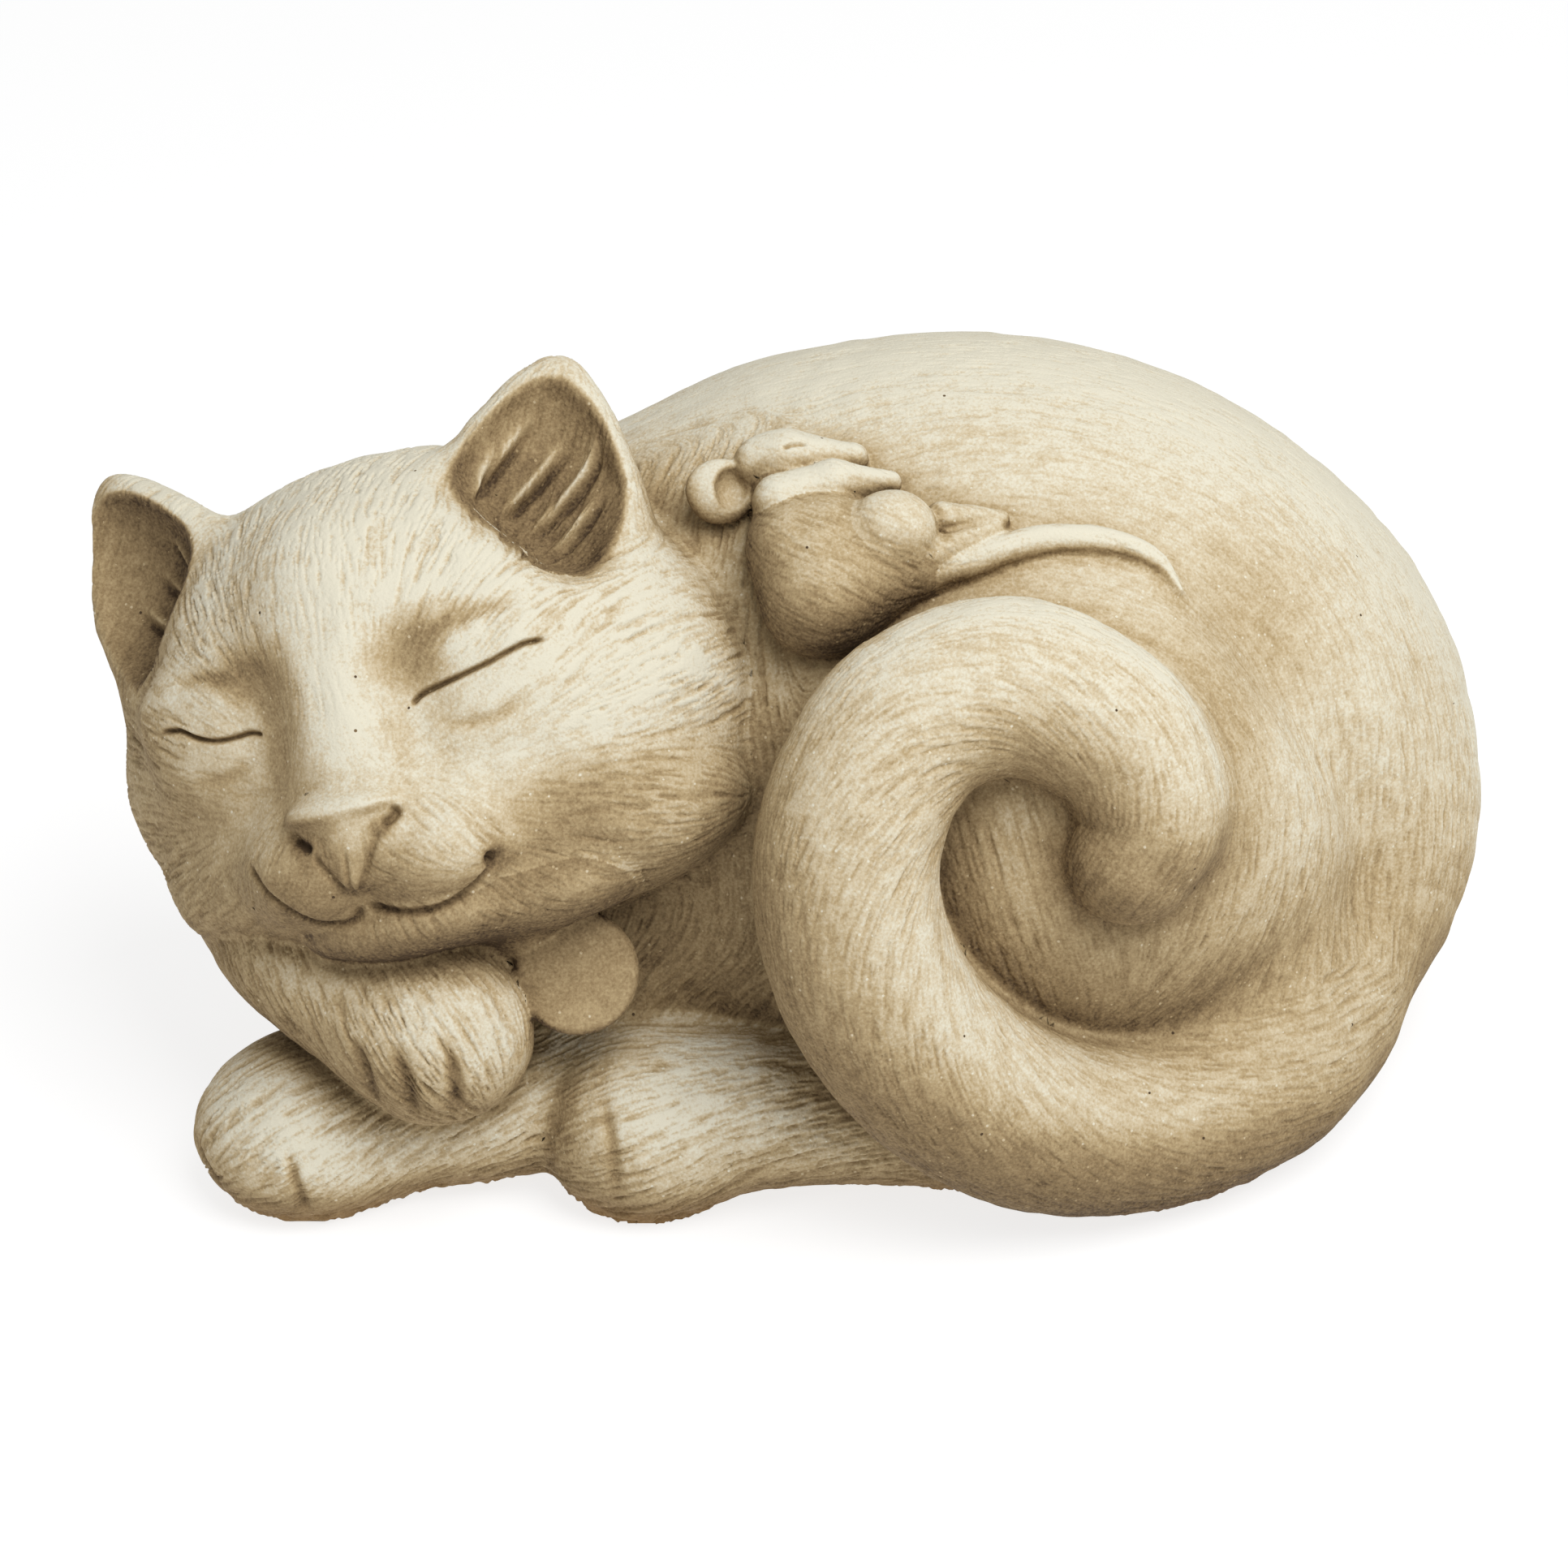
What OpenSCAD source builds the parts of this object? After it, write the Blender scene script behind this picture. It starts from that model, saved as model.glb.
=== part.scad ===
// Sleeping cat with a small mouse asleep on its back, one solid stone casting.
// The casting is drawn as the members that the sculptor laid one on another:
// the trunk lies first, and each later member is trimmed to what it rests on.
// Origin: middle of the footprint, on the table. +X cat's rump, -Y front, +Z up.

/* [Trunk] */
// Half width of the curled back
back_rx = 104; // [98:1:108]
// Half depth of the curled back
back_ry = 75; // [70:1:80]
// Half height of the curled back about its own centre
back_rz = 95; // [90:1:98]
// Height of the centre of the curled back
back_cz = 47; // [44:1:50]

/* [Head] */
// Half width of the head over the cheeks
head_rx = 63; // [58:0.5:66]
// Half height of the cheeks
cheek_ry = 42; // [39:0.5:45]
// Half depth of the head, from the middle of the skull to the face
head_rz = 44; // [41:0.5:47]
// Turn of the face toward the front paws, in degrees
face_turn = 16; // [8:1:24]
// Upward tilt of the face, in degrees
face_tilt = 22; // [14:1:30]
// Sideways lean of the head on its paws, in degrees
face_lean = 20; // [12:1:26]
// Height of an ear from its root to its tip
ear_h = 37; // [32:0.5:39]
// Half width of an ear at its root
ear_r = 23; // [20:0.5:24]

/* [Limbs] */
// Radius of the front paws
paw_r = 16; // [14:0.5:18]
// Radius of the hind foot
foot_r = 18; // [16:0.5:20]
// Radius of the tail where it leaves the rump
tail_root_r = 19; // [17:0.5:21]
// Radius of the tail near its tip
tail_tip_r = 12.5; // [10:0.5:15]

/* [Medallion] */
// Diameter of the round tag
medal_d = 25; // [20:0.5:28]
// Thickness of the round tag
medal_t = 3; // [2:0.25:4]

/* [Mouse] */
// Radius of the mouse's trunk at its belly
mouse_r = 13.5; // [12:0.5:14.5]
// Radius of the mouse's tail at its root
mouse_tail_r = 3.3; // [2.5:0.1:3.5]

/* [Hidden] */

stone = [0.84, 0.78, 0.64];
shade = [0.74, 0.66, 0.50];
back_c = [34, 9, back_cz];
head_c = [-70, -29, 87];
// Depth to which each member is bedded in what it rests on
bed = 1;
reach = 0.04;
most_steps = 40;

// ---- Shapes, as functions that are negative inside ----

function over(a, b) = [a.x / b.x, a.y / b.y, a.z / b.z];
function times(a, b) = [a.x * b.x, a.y * b.y, a.z * b.z];
function unit(v) = v / norm(v);
function mix(a, b, t) = a + (b - a) * t;
function clamp01(t) = min(1, max(0, t));

// An ellipsoid with centre c and half axes r
function egg(p, c, r) =
    let (q = p - c, a = norm(over(q, r)), b = norm(over(q, times(r, r))))
    b < 1e-6 ? -min(r) : a * (a - 1) / b;

// A limb from a to b, with its radius going from ra to rb
function limb(p, a, b, ra, rb) =
    let (t = clamp01((p - a) * (b - a) / ((b - a) * (b - a))))
    norm(p - mix(a, b, t)) - mix(ra, rb, t);

// A round join of width k between two shapes
function join(a, b, k) =
    let (h = max(k - abs(a - b), 0) / k)
    min(a, b) - h * h * k / 4;

// ---- Meshing ----

// How far the shape f reaches from the point o in the direction d
function reach_of(f, o, d, t = 0, n = 0) =
    let (v = f(o + t * d))
    v > -reach || n > most_steps ? max(t, reach) : reach_of(f, o, d, t - 0.85 * v, n + 1);

function heading(az, el) = [cos(az) * cos(el), sin(az) * cos(el), sin(el)];

// A closed skin around the point o, from rings of points between two poles
module skin(f, o, cols, rows) {
    points = [
        o + reach_of(f, o, [0, 0, -1]) * [0, 0, -1],
        for (i = [1 : rows - 1], j = [0 : cols - 1])
            let (d = heading(360 * j / cols, -90 + 180 * i / rows))
            o + reach_of(f, o, d) * d,
        o + reach_of(f, o, [0, 0, 1]) * [0, 0, 1]
    ];
    polyhedron(points, capped_faces(cols, rows - 1, len(points) - 1), convexity = 10);
}

// A closed skin along a path of points, trimmed ring by ring, with a domed end
module sleeve(f, path, cols) {
    tip = path[len(path) - 1];
    onward = unit(tip - path[len(path) - 2]);
    dome = reach_of(f, tip, onward);
    stations = concat(path, [for (a = [25, 50, 72]) tip + dome * sin(a) * onward]);
    last = len(stations) - 1;
    rings = [for (i = [0 : last])
        let (along = unit(stations[min(i + 1, last)] - stations[max(i - 1, 0)]),
             side = unit(cross(along, [0, -1, 0.3])),
             up = cross(side, along))
        for (j = [0 : cols - 1])
            let (a = 360 * j / cols, d = cos(a) * side + sin(a) * up)
            stations[i] + reach_of(f, stations[i], d) * d];
    points = concat([path[0]], rings, [tip + dome * onward]);
    polyhedron(points, capped_faces(cols, last + 1, len(points) - 1), convexity = 10);
}

// Faces for rings of points between a first and a last single point
function capped_faces(cols, rings, last) = [
    for (j = [0 : cols - 1]) [0, 1 + j, 1 + (j + 1) % cols],
    for (i = [0 : rings - 2], j = [0 : cols - 1])
        let (a = 1 + i * cols + j, b = 1 + i * cols + (j + 1) % cols)
        each [[a, a + cols, b], [b, a + cols, b + cols]],
    for (j = [0 : cols - 1])
        let (a = 1 + (rings - 1) * cols + j, b = 1 + (rings - 1) * cols + (j + 1) % cols)
        [last, b, a]
];

// A smooth curve through the points q, with n steps in each gap
function curve(q, n) = [
    for (i = [0 : len(q) - 2], s = [0 : n - 1])
        let (t = s / n, a = q[max(i - 1, 0)], b = q[i], c = q[i + 1],
             d = q[min(i + 2, len(q) - 1)])
        0.5 * (2 * b + (c - a) * t + (2 * a - 5 * b + 4 * c - d) * t * t
               + (3 * b - a - 3 * c + d) * t * t * t),
    q[len(q) - 1]
];

// Distance to a chain of limbs along path, whose radii are listed beside it
function chain(p, path, radii) =
    min([for (i = [0 : len(path) - 2])
        limb(p, path[i], path[i + 1], radii[i], radii[i + 1])]);

// ---- The head's own frame: across the face, up the face, out of the face ----

face_out = [-sin(face_turn) * cos(face_tilt), -cos(face_turn) * cos(face_tilt),
            sin(face_tilt)];
level = [cos(face_turn), -sin(face_turn), 0];
steep = cross(level, -face_out);
face_across = cos(face_lean) * level + sin(face_lean) * steep;
face_up = cos(face_lean) * steep - sin(face_lean) * level;

function on_head(v) = head_c + v.x * face_across + v.y * face_up + v.z * face_out;
function in_head(p) = let (q = p - head_c) [q * face_across, q * face_up, q * face_out];

// ---- The members ----

// The rump runs down the right flank and narrows into the tail
rump_path = curve([[66, 24, 80], [97, 16, 70], [111, 0, 50], [114, -16, 34]], 3);
rump_radii = [for (i = [0 : len(rump_path) - 1])
    lookup(i, [[0, 42], [3, 34], [6, 27], [9, tail_root_r + 3]])];

function body_f(p) =
    let (back = egg(p, back_c, [back_rx, back_ry, back_rz]),
         foot = egg(p, [back_c.x + 1, 14, 6], [back_rx - 8, back_ry - 3, 62]),
         rump = chain(p, rump_path, rump_radii),
         thigh = egg(p, [50, -30, 62], [58, 45, 60]),
         neck = egg(p, [-30, 4, 58], [58, 52, 62]),
         breast = egg(p, [-42, -18, 30], [44, 42, 44]),
         nape = limb(p, [-46, 4, 78], [0, 14, 84], 34, 46),
         hind = join(join(join(back, foot, 20), rump, 10), thigh, 8),
         front = join(join(neck, breast, 14), nape, 12))
    join(hind, front, 12);

function head_f(p) =
    let (q = in_head(p),
         cheeks = egg(q, [0, -6, -2], [head_rx, cheek_ry, head_rz - 3]),
         skull = egg(q, [0, 14, -4], [head_rx * 0.78, 35, head_rz - 2]),
         bridge = limb(q, [0, 20, head_rz - 20], [0, -10, head_rz - 6], 14, 9))
    join(join(cheeks, skull, 14), bridge, 12);

function muzzle_f(p) =
    let (q = in_head(p), m = [abs(q.x), q.y, q.z])
    join(egg(m, [10, -25, head_rz - 4], [14, 10, 12]),
         egg(q, [0, -20, head_rz - 3], [11, 9, 11]), 5);

function nose_f(p) =
    let (q = in_head(p))
    join(egg(q, [0, -15.5, head_rz + 6], [9.5, 4.5, 5]),
         egg(q, [0, -20, head_rz + 5], [4, 7, 5]), 4);

function chin_f(p) = egg(in_head(p), [0, -38, head_rz - 12], [18, 8.5, 14]);

// An ear on the side s of the head, 1 for the cat's left and -1 for its right
ear_root = [35, 20, 2];
ear_lean = 21;
ear_spread = 16;
ear_thick = 0.4;

function in_ear(p, s) =
    let (q = in_head(p),
         v = [q.x * s, q.y, q.z] - ear_root,
         a = [v.x * cos(ear_lean) - v.y * sin(ear_lean),
              v.x * sin(ear_lean) + v.y * cos(ear_lean), v.z])
    [a.x * cos(ear_spread) - a.z * sin(ear_spread), a.y,
     a.x * sin(ear_spread) + a.z * cos(ear_spread)];

function ear_f(p, s) =
    let (v = in_ear(p, s),
         w = [v.x, v.y, v.z / ear_thick],
         shell = limb(w, [0, 0, 0], [0, ear_h - 12, 0], ear_r, 12) * ear_thick,
         hollow = egg(v, [0, ear_h * 0.42, 12], [ear_r * 0.6, ear_h * 0.5, 9]))
    max(shell, -hollow);

lower_path = curve([[-90, -62, 14], [-70, -60, 16], [-44, -56, 17], [-22, -54, 18]], 5);
lower_radii = [for (i = [0 : len(lower_path) - 1])
    mix(paw_r + 1, paw_r, i / (len(lower_path) - 1))];

function lower_paw_f(p) =
    let (toes = egg(p, [-93, -64, 13], [21, 20, paw_r]))
    max(join(chain(p, lower_path, lower_radii), toes, 8), -p.z);

upper_path = curve([[-100, -38, 48], [-92, -54, 46], [-78, -66, 41], [-62, -74, 37]], 5);
upper_radii = [for (i = [0 : len(upper_path) - 1])
    mix(paw_r - 1, paw_r - 2, i / (len(upper_path) - 1))];

function upper_paw_f(p) =
    let (toes = egg(p, [-61, -73, 39], [18, 15, paw_r + 1]))
    join(chain(p, upper_path, upper_radii), toes, 8);

foot_path = curve([[-26, -64, 15], [-6, -64, 18], [16, -62, 16], [40, -62, 12]], 5);
foot_radii = [for (i = [0 : len(foot_path) - 1])
    mix(foot_r, foot_r - 5, i / (len(foot_path) - 1))];

function hind_paw_f(p) =
    let (toes = egg(p, [-27, -66, 15], [19, 17, foot_r]))
    max(join(chain(p, foot_path, foot_radii), toes, 8), -p.z);

// The tail leaves the rump low on the right and curls in over the thigh
tail_path = curve([[108, -38, 22], [91, -53, 19], [70, -67, 18], [46, -77, 25],
                   [26, -82, 42], [14, -82, 64], [12, -77, 86], [22, -68, 104],
                   [41, -63, 110], [60, -65, 102], [70, -70, 87], [68, -73, 76]], 4);
function tail_r(t) =
    t < 0.75 ? mix(tail_root_r, tail_root_r - 2.5, t / 0.75)
             : mix(tail_root_r - 2.5, tail_tip_r, (t - 0.75) / 0.25);
tail_radii = [for (i = [0 : len(tail_path) - 1]) tail_r(i / (len(tail_path) - 1))];

function tail_f(p) = max(chain(p, tail_path, tail_radii), -p.z);

// ---- The mouse, curled up in the dip between the back and the tail ----

function mouse_body_f(p) =
    join(limb(p, [0, -31, 127.5], [6, -42, 119], mouse_r - 2, mouse_r),
         limb(p, [8, -42, 119], [19, -41, 122], mouse_r - 3, mouse_r - 6), 6);

function mouse_head_f(p) =
    join(egg(p, [-1, -19, 136.5], [9, 6.5, 6.5]),
         limb(p, [2, -19, 137], [13, -18.5, 137.5], 5.5, 2.8), 4);

function mouse_ear_f(p) = egg(p, [-13, -19, 131], [6.2, 5.5, 4.5]);

function mouse_arm_f(p) =
    join(limb(p, [-1, -30, 133], [12, -26, 136], 5.5, 4),
         limb(p, [12, -26, 136], [20, -25.5, 134], 4, 2), 2);

function mouse_leg_f(p) =
    let (thigh = egg(p, [18, -38, 129], [8.5, 8, 8]),
         near_foot = limb(p, [26.5, -40, 126], [38.5, -35, 128.5], 3.4, 2.4),
         far_foot = limb(p, [28, -33.5, 131], [41, -32, 129.5], 4, 1.8))
    join(thigh, join(near_foot, far_foot, 2), 3);

mouse_tail_path = curve([[28, -42, 122.5], [41, -38, 127], [52, -34.5, 128], [60, -33, 127],
                         [67, -32.5, 125], [72.5, -34, 121.5], [75.5, -38.5, 117]], 3);
mouse_tail_radii = [for (i = [0 : len(mouse_tail_path) - 1])
    let (t = i / (len(mouse_tail_path) - 1)) mix(mouse_tail_r, mouse_tail_r / 3, t * t)];

function mouse_tail_f(p) = chain(p, mouse_tail_path, mouse_tail_radii);

// ---- Nodes ----

module body() {
    color(stone) difference() {
        skin(function (p) max(body_f(p), -p.z - 5), [back_c.x - 6, 6, 40], 72, 34);
        translate([-200, -200, -60]) cube([400, 400, 60]);
    }
}

module head() {
    color(stone) skin(function (p) max(head_f(p), -body_f(p) - bed), on_head([-5, 2, 14]), 60, 30);
}

module muzzle() {
    color(stone)
        skin(function (p) max(muzzle_f(p), -head_f(p) - bed), on_head([0, -24, head_rz + 3]), 28, 16);
}

module nose() {
    color(shade)
        skin(function (p) max(nose_f(p), -head_f(p) - bed, -muzzle_f(p) - bed),
             on_head([0, -15, head_rz + 8]), 20, 12);
}

module chin() {
    color(stone)
        skin(function (p) max(chin_f(p), -head_f(p) - bed, -muzzle_f(p) - bed),
             on_head([0, -40, head_rz - 6]), 24, 14);
}

module ear(s) {
    color(stone)
        skin(function (p) max(ear_f(p, s), -head_f(p) - bed),
             on_head([s * (ear_root.x + 5), ear_root.y + 16, ear_root.z - 4]), 28, 20);
}

module ear_left() {
    ear(1);
}

module ear_right() {
    ear(-1);
}

module forepaw_lower() {
    color(stone) skin(function (p) max(lower_paw_f(p), -body_f(p) - bed), [-78, -64, 14], 40, 22);
}

module forepaw_upper() {
    color(stone)
        skin(function (p) max(upper_paw_f(p), -head_f(p) - bed, -chin_f(p) - bed,
                              -lower_paw_f(p) - bed, -body_f(p) - bed),
             [-78, -68, 41], 40, 22);
}

module hind_paw() {
    color(stone)
        skin(function (p) max(hind_paw_f(p), -body_f(p) - bed), [-10, -70, 16], 40, 22);
}

module tail() {
    color(stone)
        sleeve(function (p) max(tail_f(p), -body_f(p) - bed, -hind_paw_f(p) - bed), tail_path, 24);
}

module medallion() {
    color(shade) translate([-39, -69, 52]) rotate([60, 0, 0])
        cylinder(d = medal_d, h = medal_t, $fn = 64);
}

module mouse_body() {
    color(stone) skin(function (p) max(mouse_body_f(p), -body_f(p) - bed), [6, -43, 124], 24, 16);
}

module mouse_head() {
    color(stone)
        skin(function (p) max(mouse_head_f(p), -body_f(p) - bed, -mouse_body_f(p) - bed),
             [0, -19, 138], 24, 16);
}

module mouse_ear() {
    color(stone)
        skin(function (p) max(mouse_ear_f(p), -body_f(p) - bed, -mouse_head_f(p) - bed),
             [-13, -20, 133], 18, 12);
}

module mouse_arm() {
    color(stone)
        skin(function (p) max(mouse_arm_f(p), -body_f(p) - bed, -mouse_body_f(p) - bed,
                              -mouse_head_f(p) - bed),
             [9, -27, 137.5], 22, 12);
}

module mouse_leg() {
    color(stone)
        skin(function (p) max(mouse_leg_f(p), -body_f(p) - bed, -mouse_body_f(p) - bed),
             [22, -38, 132], 24, 14);
}

module mouse_tail() {
    color(stone)
        sleeve(function (p) max(mouse_tail_f(p), -body_f(p) - bed, -mouse_leg_f(p) - bed,
                                -mouse_body_f(p) - bed),
               mouse_tail_path, 12);
}

body();
head();
muzzle();
nose();
chin();
ear_left();
ear_right();
forepaw_lower();
forepaw_upper();
hind_paw();
tail();
medallion();
mouse_body();
mouse_head();
mouse_ear();
mouse_arm();
mouse_leg();
mouse_tail();
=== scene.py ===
import math

import bpy
import numpy as np
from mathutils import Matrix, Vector


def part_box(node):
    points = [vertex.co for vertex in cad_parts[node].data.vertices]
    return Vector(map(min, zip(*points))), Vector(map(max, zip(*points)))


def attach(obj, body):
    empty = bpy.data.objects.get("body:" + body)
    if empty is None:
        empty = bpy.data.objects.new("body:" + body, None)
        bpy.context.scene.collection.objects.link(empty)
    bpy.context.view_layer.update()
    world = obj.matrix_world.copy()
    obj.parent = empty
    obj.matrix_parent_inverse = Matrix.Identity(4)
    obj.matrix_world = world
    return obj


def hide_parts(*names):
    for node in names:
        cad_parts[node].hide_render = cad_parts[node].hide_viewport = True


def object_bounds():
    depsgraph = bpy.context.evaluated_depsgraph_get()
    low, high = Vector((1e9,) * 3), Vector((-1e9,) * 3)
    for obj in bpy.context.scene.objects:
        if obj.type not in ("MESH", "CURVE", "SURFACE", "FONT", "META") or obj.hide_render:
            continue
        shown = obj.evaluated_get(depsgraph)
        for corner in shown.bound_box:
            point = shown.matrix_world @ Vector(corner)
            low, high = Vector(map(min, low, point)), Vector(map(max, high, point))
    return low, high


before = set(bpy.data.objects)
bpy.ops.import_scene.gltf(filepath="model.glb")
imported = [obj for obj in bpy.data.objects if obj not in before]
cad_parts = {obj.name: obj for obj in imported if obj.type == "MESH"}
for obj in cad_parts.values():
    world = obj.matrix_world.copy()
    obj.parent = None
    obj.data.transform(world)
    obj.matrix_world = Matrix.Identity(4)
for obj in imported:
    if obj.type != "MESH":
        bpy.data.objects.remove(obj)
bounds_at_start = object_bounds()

# Lengths are in millimetres until a mesh is made.
MM = 0.001
# A distance that stands for nothing near
FAR = 60.0
# Below this height a point belongs to the flat underside.
FLAT_HEIGHT = 0.05
SEED = 11

# Cell of the grid, and how many of them make one side of a block far from the surface
GRID = 1.25
BLOCK = 4
# Longest edges of the net: along fine marks, on the side that the photo shows, and behind
FINE_EDGE = 0.28
FRONT_EDGE = 0.38
BACK_EDGE = 0.85
TO_CAMERA = np.array([0.0, -0.87, 0.5], np.float32)


# ---- Anchors: every member is placed from its own node in the frame ----


def middle(node):
    low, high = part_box(node)
    return (np.array(low) + np.array(high)) / 2 / MM


def beside(node, *offsets):
    """Points given by their offsets from the middle of a node."""
    points = middle(node) + np.array(offsets, float)
    return points[0] if len(offsets) == 1 else points


# ---- Shapes, as distances that are negative inside ----


def length(v):
    return np.sqrt(np.einsum("ij,ij->i", v, v))


def egg(p, centre, radii):
    radii = np.float32(radii)
    q = (p - np.float32(centre)) / radii
    a = length(q)
    return a * (a - 1) / np.maximum(length(q / radii), 1e-6)


def limb(p, a, b, ra, rb):
    a, b = np.float32(a), np.float32(b)
    along = b - a
    q = p - a
    t = np.clip(q @ along / (along @ along), 0, 1)
    return length(q - t[:, None] * along) - (ra + t * (rb - ra))


def join(a, b, width):
    h = np.maximum(width - np.abs(a - b), 0) / width
    return np.minimum(a, b) - h * h * width / 4


def carve(a, b, width):
    return -join(-a, b, width)


def chain(p, path, radii):
    d = limb(p, path[0], path[1], radii[0], radii[1])
    for i in range(1, len(path) - 1):
        np.minimum(d, limb(p, path[i], path[i + 1], radii[i], radii[i + 1]), out=d)
    return d


def curve(points, steps):
    """A smooth curve through the points, with that many steps in each gap."""
    points = np.asarray(points, float)
    ends = np.vstack([2 * points[0] - points[1], points, 2 * points[-1] - points[-2]])
    out = []
    for i in range(len(points) - 1):
        a, b, c, d = ends[i : i + 4]
        for t in np.arange(steps) / steps:
            out.append(
                0.5
                * (
                    2 * b
                    + (c - a) * t
                    + (2 * a - 5 * b + 4 * c - d) * t**2
                    + (3 * b - a - 3 * c + d) * t**3
                )
            )
    out.append(points[-1])
    return np.array(out)


def ramp(x, low, high):
    t = np.clip((x - low) / (high - low), 0, 1)
    return t * t * (3 - 2 * t)


def mirrored(q):
    return np.stack([np.abs(q[:, 0]), q[:, 1], q[:, 2]], 1)


# ---- The head's own frame: across the face, up the face, out of the face ----

HEAD_MIDDLE = beside("head", (0.1, -1, 1))
FACE_TURN, FACE_TILT, FACE_LEAN = (math.radians(a) for a in (16, 22, 20))
FACE_OUT = np.array(
    [
        -math.sin(FACE_TURN) * math.cos(FACE_TILT),
        -math.cos(FACE_TURN) * math.cos(FACE_TILT),
        math.sin(FACE_TILT),
    ]
)
LEVEL = np.array([math.cos(FACE_TURN), -math.sin(FACE_TURN), 0])
STEEP = np.cross(LEVEL, -FACE_OUT)
FACE_ACROSS = math.cos(FACE_LEAN) * LEVEL + math.sin(FACE_LEAN) * STEEP
FACE_UP = math.cos(FACE_LEAN) * STEEP - math.sin(FACE_LEAN) * LEVEL
HEAD_AXES = np.stack([FACE_ACROSS, FACE_UP, FACE_OUT], 1)
HEAD_DEPTH = 44


def in_head(p):
    return (p - np.float32(HEAD_MIDDLE)) @ np.float32(HEAD_AXES)


def on_head(*points):
    return HEAD_MIDDLE + np.array(points, float) @ HEAD_AXES.T


# The face sits a little to one side of the middle of the head, squashed by the paws under it.
FACE_MIDLINE = -2


def in_face(p):
    return in_head(p) - np.float32([FACE_MIDLINE, 0, 0])


# ---- The trunk ----

BACK = beside("body", (7.9, 2.5, -24))
FOOT = beside("body", (6.9, 7.5, -65))
RUMP = curve(
    beside("body", (39.9, 17.5, 9), (70.9, 9.5, -1), (84.9, -6.5, -21), (86.2, -20, -34)),
    3,
)
RUMP_RADII = np.interp(np.linspace(0, 3, len(RUMP)), [0, 1, 2, 3], [42, 34, 27, 21])
THIGH = beside("body", (23.9, -36.4, -9))
NECK = beside("body", (-56.1, -2.5, -13))
BREAST = beside("body", (-68.1, -24.5, -41))
NAPE = beside("body", (-72.1, -2.5, 7), (-26.1, 7.5, 13))


def body(p):
    back = egg(p, BACK, (104, 75, 95.5))
    foot = egg(p, FOOT, (89, 70, 62))
    thigh = egg(p, THIGH, (58, 45, 60))
    hind = join(join(join(back, foot, 20), chain(p, RUMP, RUMP_RADII), 10), thigh, 8)
    neck = egg(p, NECK, (58, 52, 62))
    breast = egg(p, BREAST, (44, 42, 44))
    front = join(join(neck, breast, 14), limb(p, NAPE[0], NAPE[1], 34, 46), 12)
    return join(hind, front, 12)


# ---- The head and what is on it ----


# The cheeks, and the turns round them, in degrees from straight across, where locks stand out
CHEEKS = np.array([2.8, -6, -2])
CHEEK_RADII = np.array([64.5, 42.5, HEAD_DEPTH - 3])
LOCKS = (14, 2, -9, -20, -31, -42, -54, -66, -152, -140, -128, -116)


def locks(q):
    d = np.full(len(q), FAR, np.float32)
    for i, turn in enumerate(LOCKS):
        turn = math.radians(turn)
        rim = np.array([math.cos(turn), math.sin(turn), -0.14 * math.cos(turn)])
        tip = CHEEKS + CHEEK_RADII * rim * (1.01 + 0.012 * (i % 3))
        root = CHEEKS + CHEEK_RADII * rim * 0.86 + (0, 3, 0)
        np.minimum(d, limb(q, root, tip, 6, 1.8), out=d)
    return d


def head(p):
    q = in_head(p)
    cheeks = egg(q, CHEEKS, CHEEK_RADII)
    skull = egg(q, (0, 14, -4), (50, 35, HEAD_DEPTH - 2))
    jowl = egg(q, (-31, -26, 12), (21, 13, 18))
    right_jowl = egg(q, (36, -28, 10), (27, 14.5, 20))
    ruff = locks(q)
    q = in_face(p)
    m = mirrored(q)
    bridge = limb(q, (0, 24, 23), (0, -8, 36), 15, 11)
    snout = egg(q, (0, -23, 25), (33, 19, 17))
    d = join(join(cheeks, skull, 14), np.minimum(jowl, right_jowl), 8)
    d = join(join(d, bridge, 9), snout, 10)
    d = join(d, ruff, 3)
    lid = egg(m, (28, 8.5, 27), (14, 8, 7))
    lower_lid = egg(m, (27, -2, 26.5), (12, 5.5, 7))
    socket = egg(m, (15.5, 8.5, 46), (6, 10, 6.5))
    d = carve(join(join(d, lid, 9), lower_lid, 9), socket, 8)
    for side in (-1, 1):
        d = carve(d, ear_hollow(in_ear(p, side), side), 7)
    return d


def muzzle(p):
    q = in_face(p)
    pads = egg(mirrored(q), (10.5, -24.5, HEAD_DEPTH - 8), (14.5, 10.5, 12.5))
    return join(pads, egg(q, (0, -19, HEAD_DEPTH - 4), (11, 9, 9)), 5)


def nose(p):
    q = in_face(p)
    top = egg(q, (-0.8, -13.6, HEAD_DEPTH + 1.5), (11, 3, 6))
    leather = limb(q, (-0.5, -16, HEAD_DEPTH + 1), (-1.5, -26, HEAD_DEPTH + 1.5), 5.2, 3)
    m = mirrored(q + np.float32([0.5, 0, 0]))
    nostril = egg(m, (7.4, -19.2, HEAD_DEPTH + 6.5), (2.3, 1.4, 3.5))
    return carve(join(top, leather, 2), nostril, 1.5)


def chin(p):
    q = in_face(p)
    front = egg(q, (3, -37.5, 31), (21, 7, 12))
    side = join(front, egg(q, (24, -36.5, 20), (20, 9, 14)), 6)
    throat = egg(q, (13, -45.5, 10.5), (13, 7.5, 10.5))
    return join(side, throat, 6)


# Foot and tip of each ear in face coordinates, by the side it is on
EAR_ROOTS = {1: np.array([32, 18.5, 10]), -1: np.array([34.5, 18.5, 10])}
EAR_TIPS = {1: np.array([44.5, 58.5, -5]), -1: np.array([52, 56.5, -5])}
EAR_HALF_WIDTHS = {1: 22.5, -1: 20.5}
EAR_SPREAD = math.radians(14)


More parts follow.
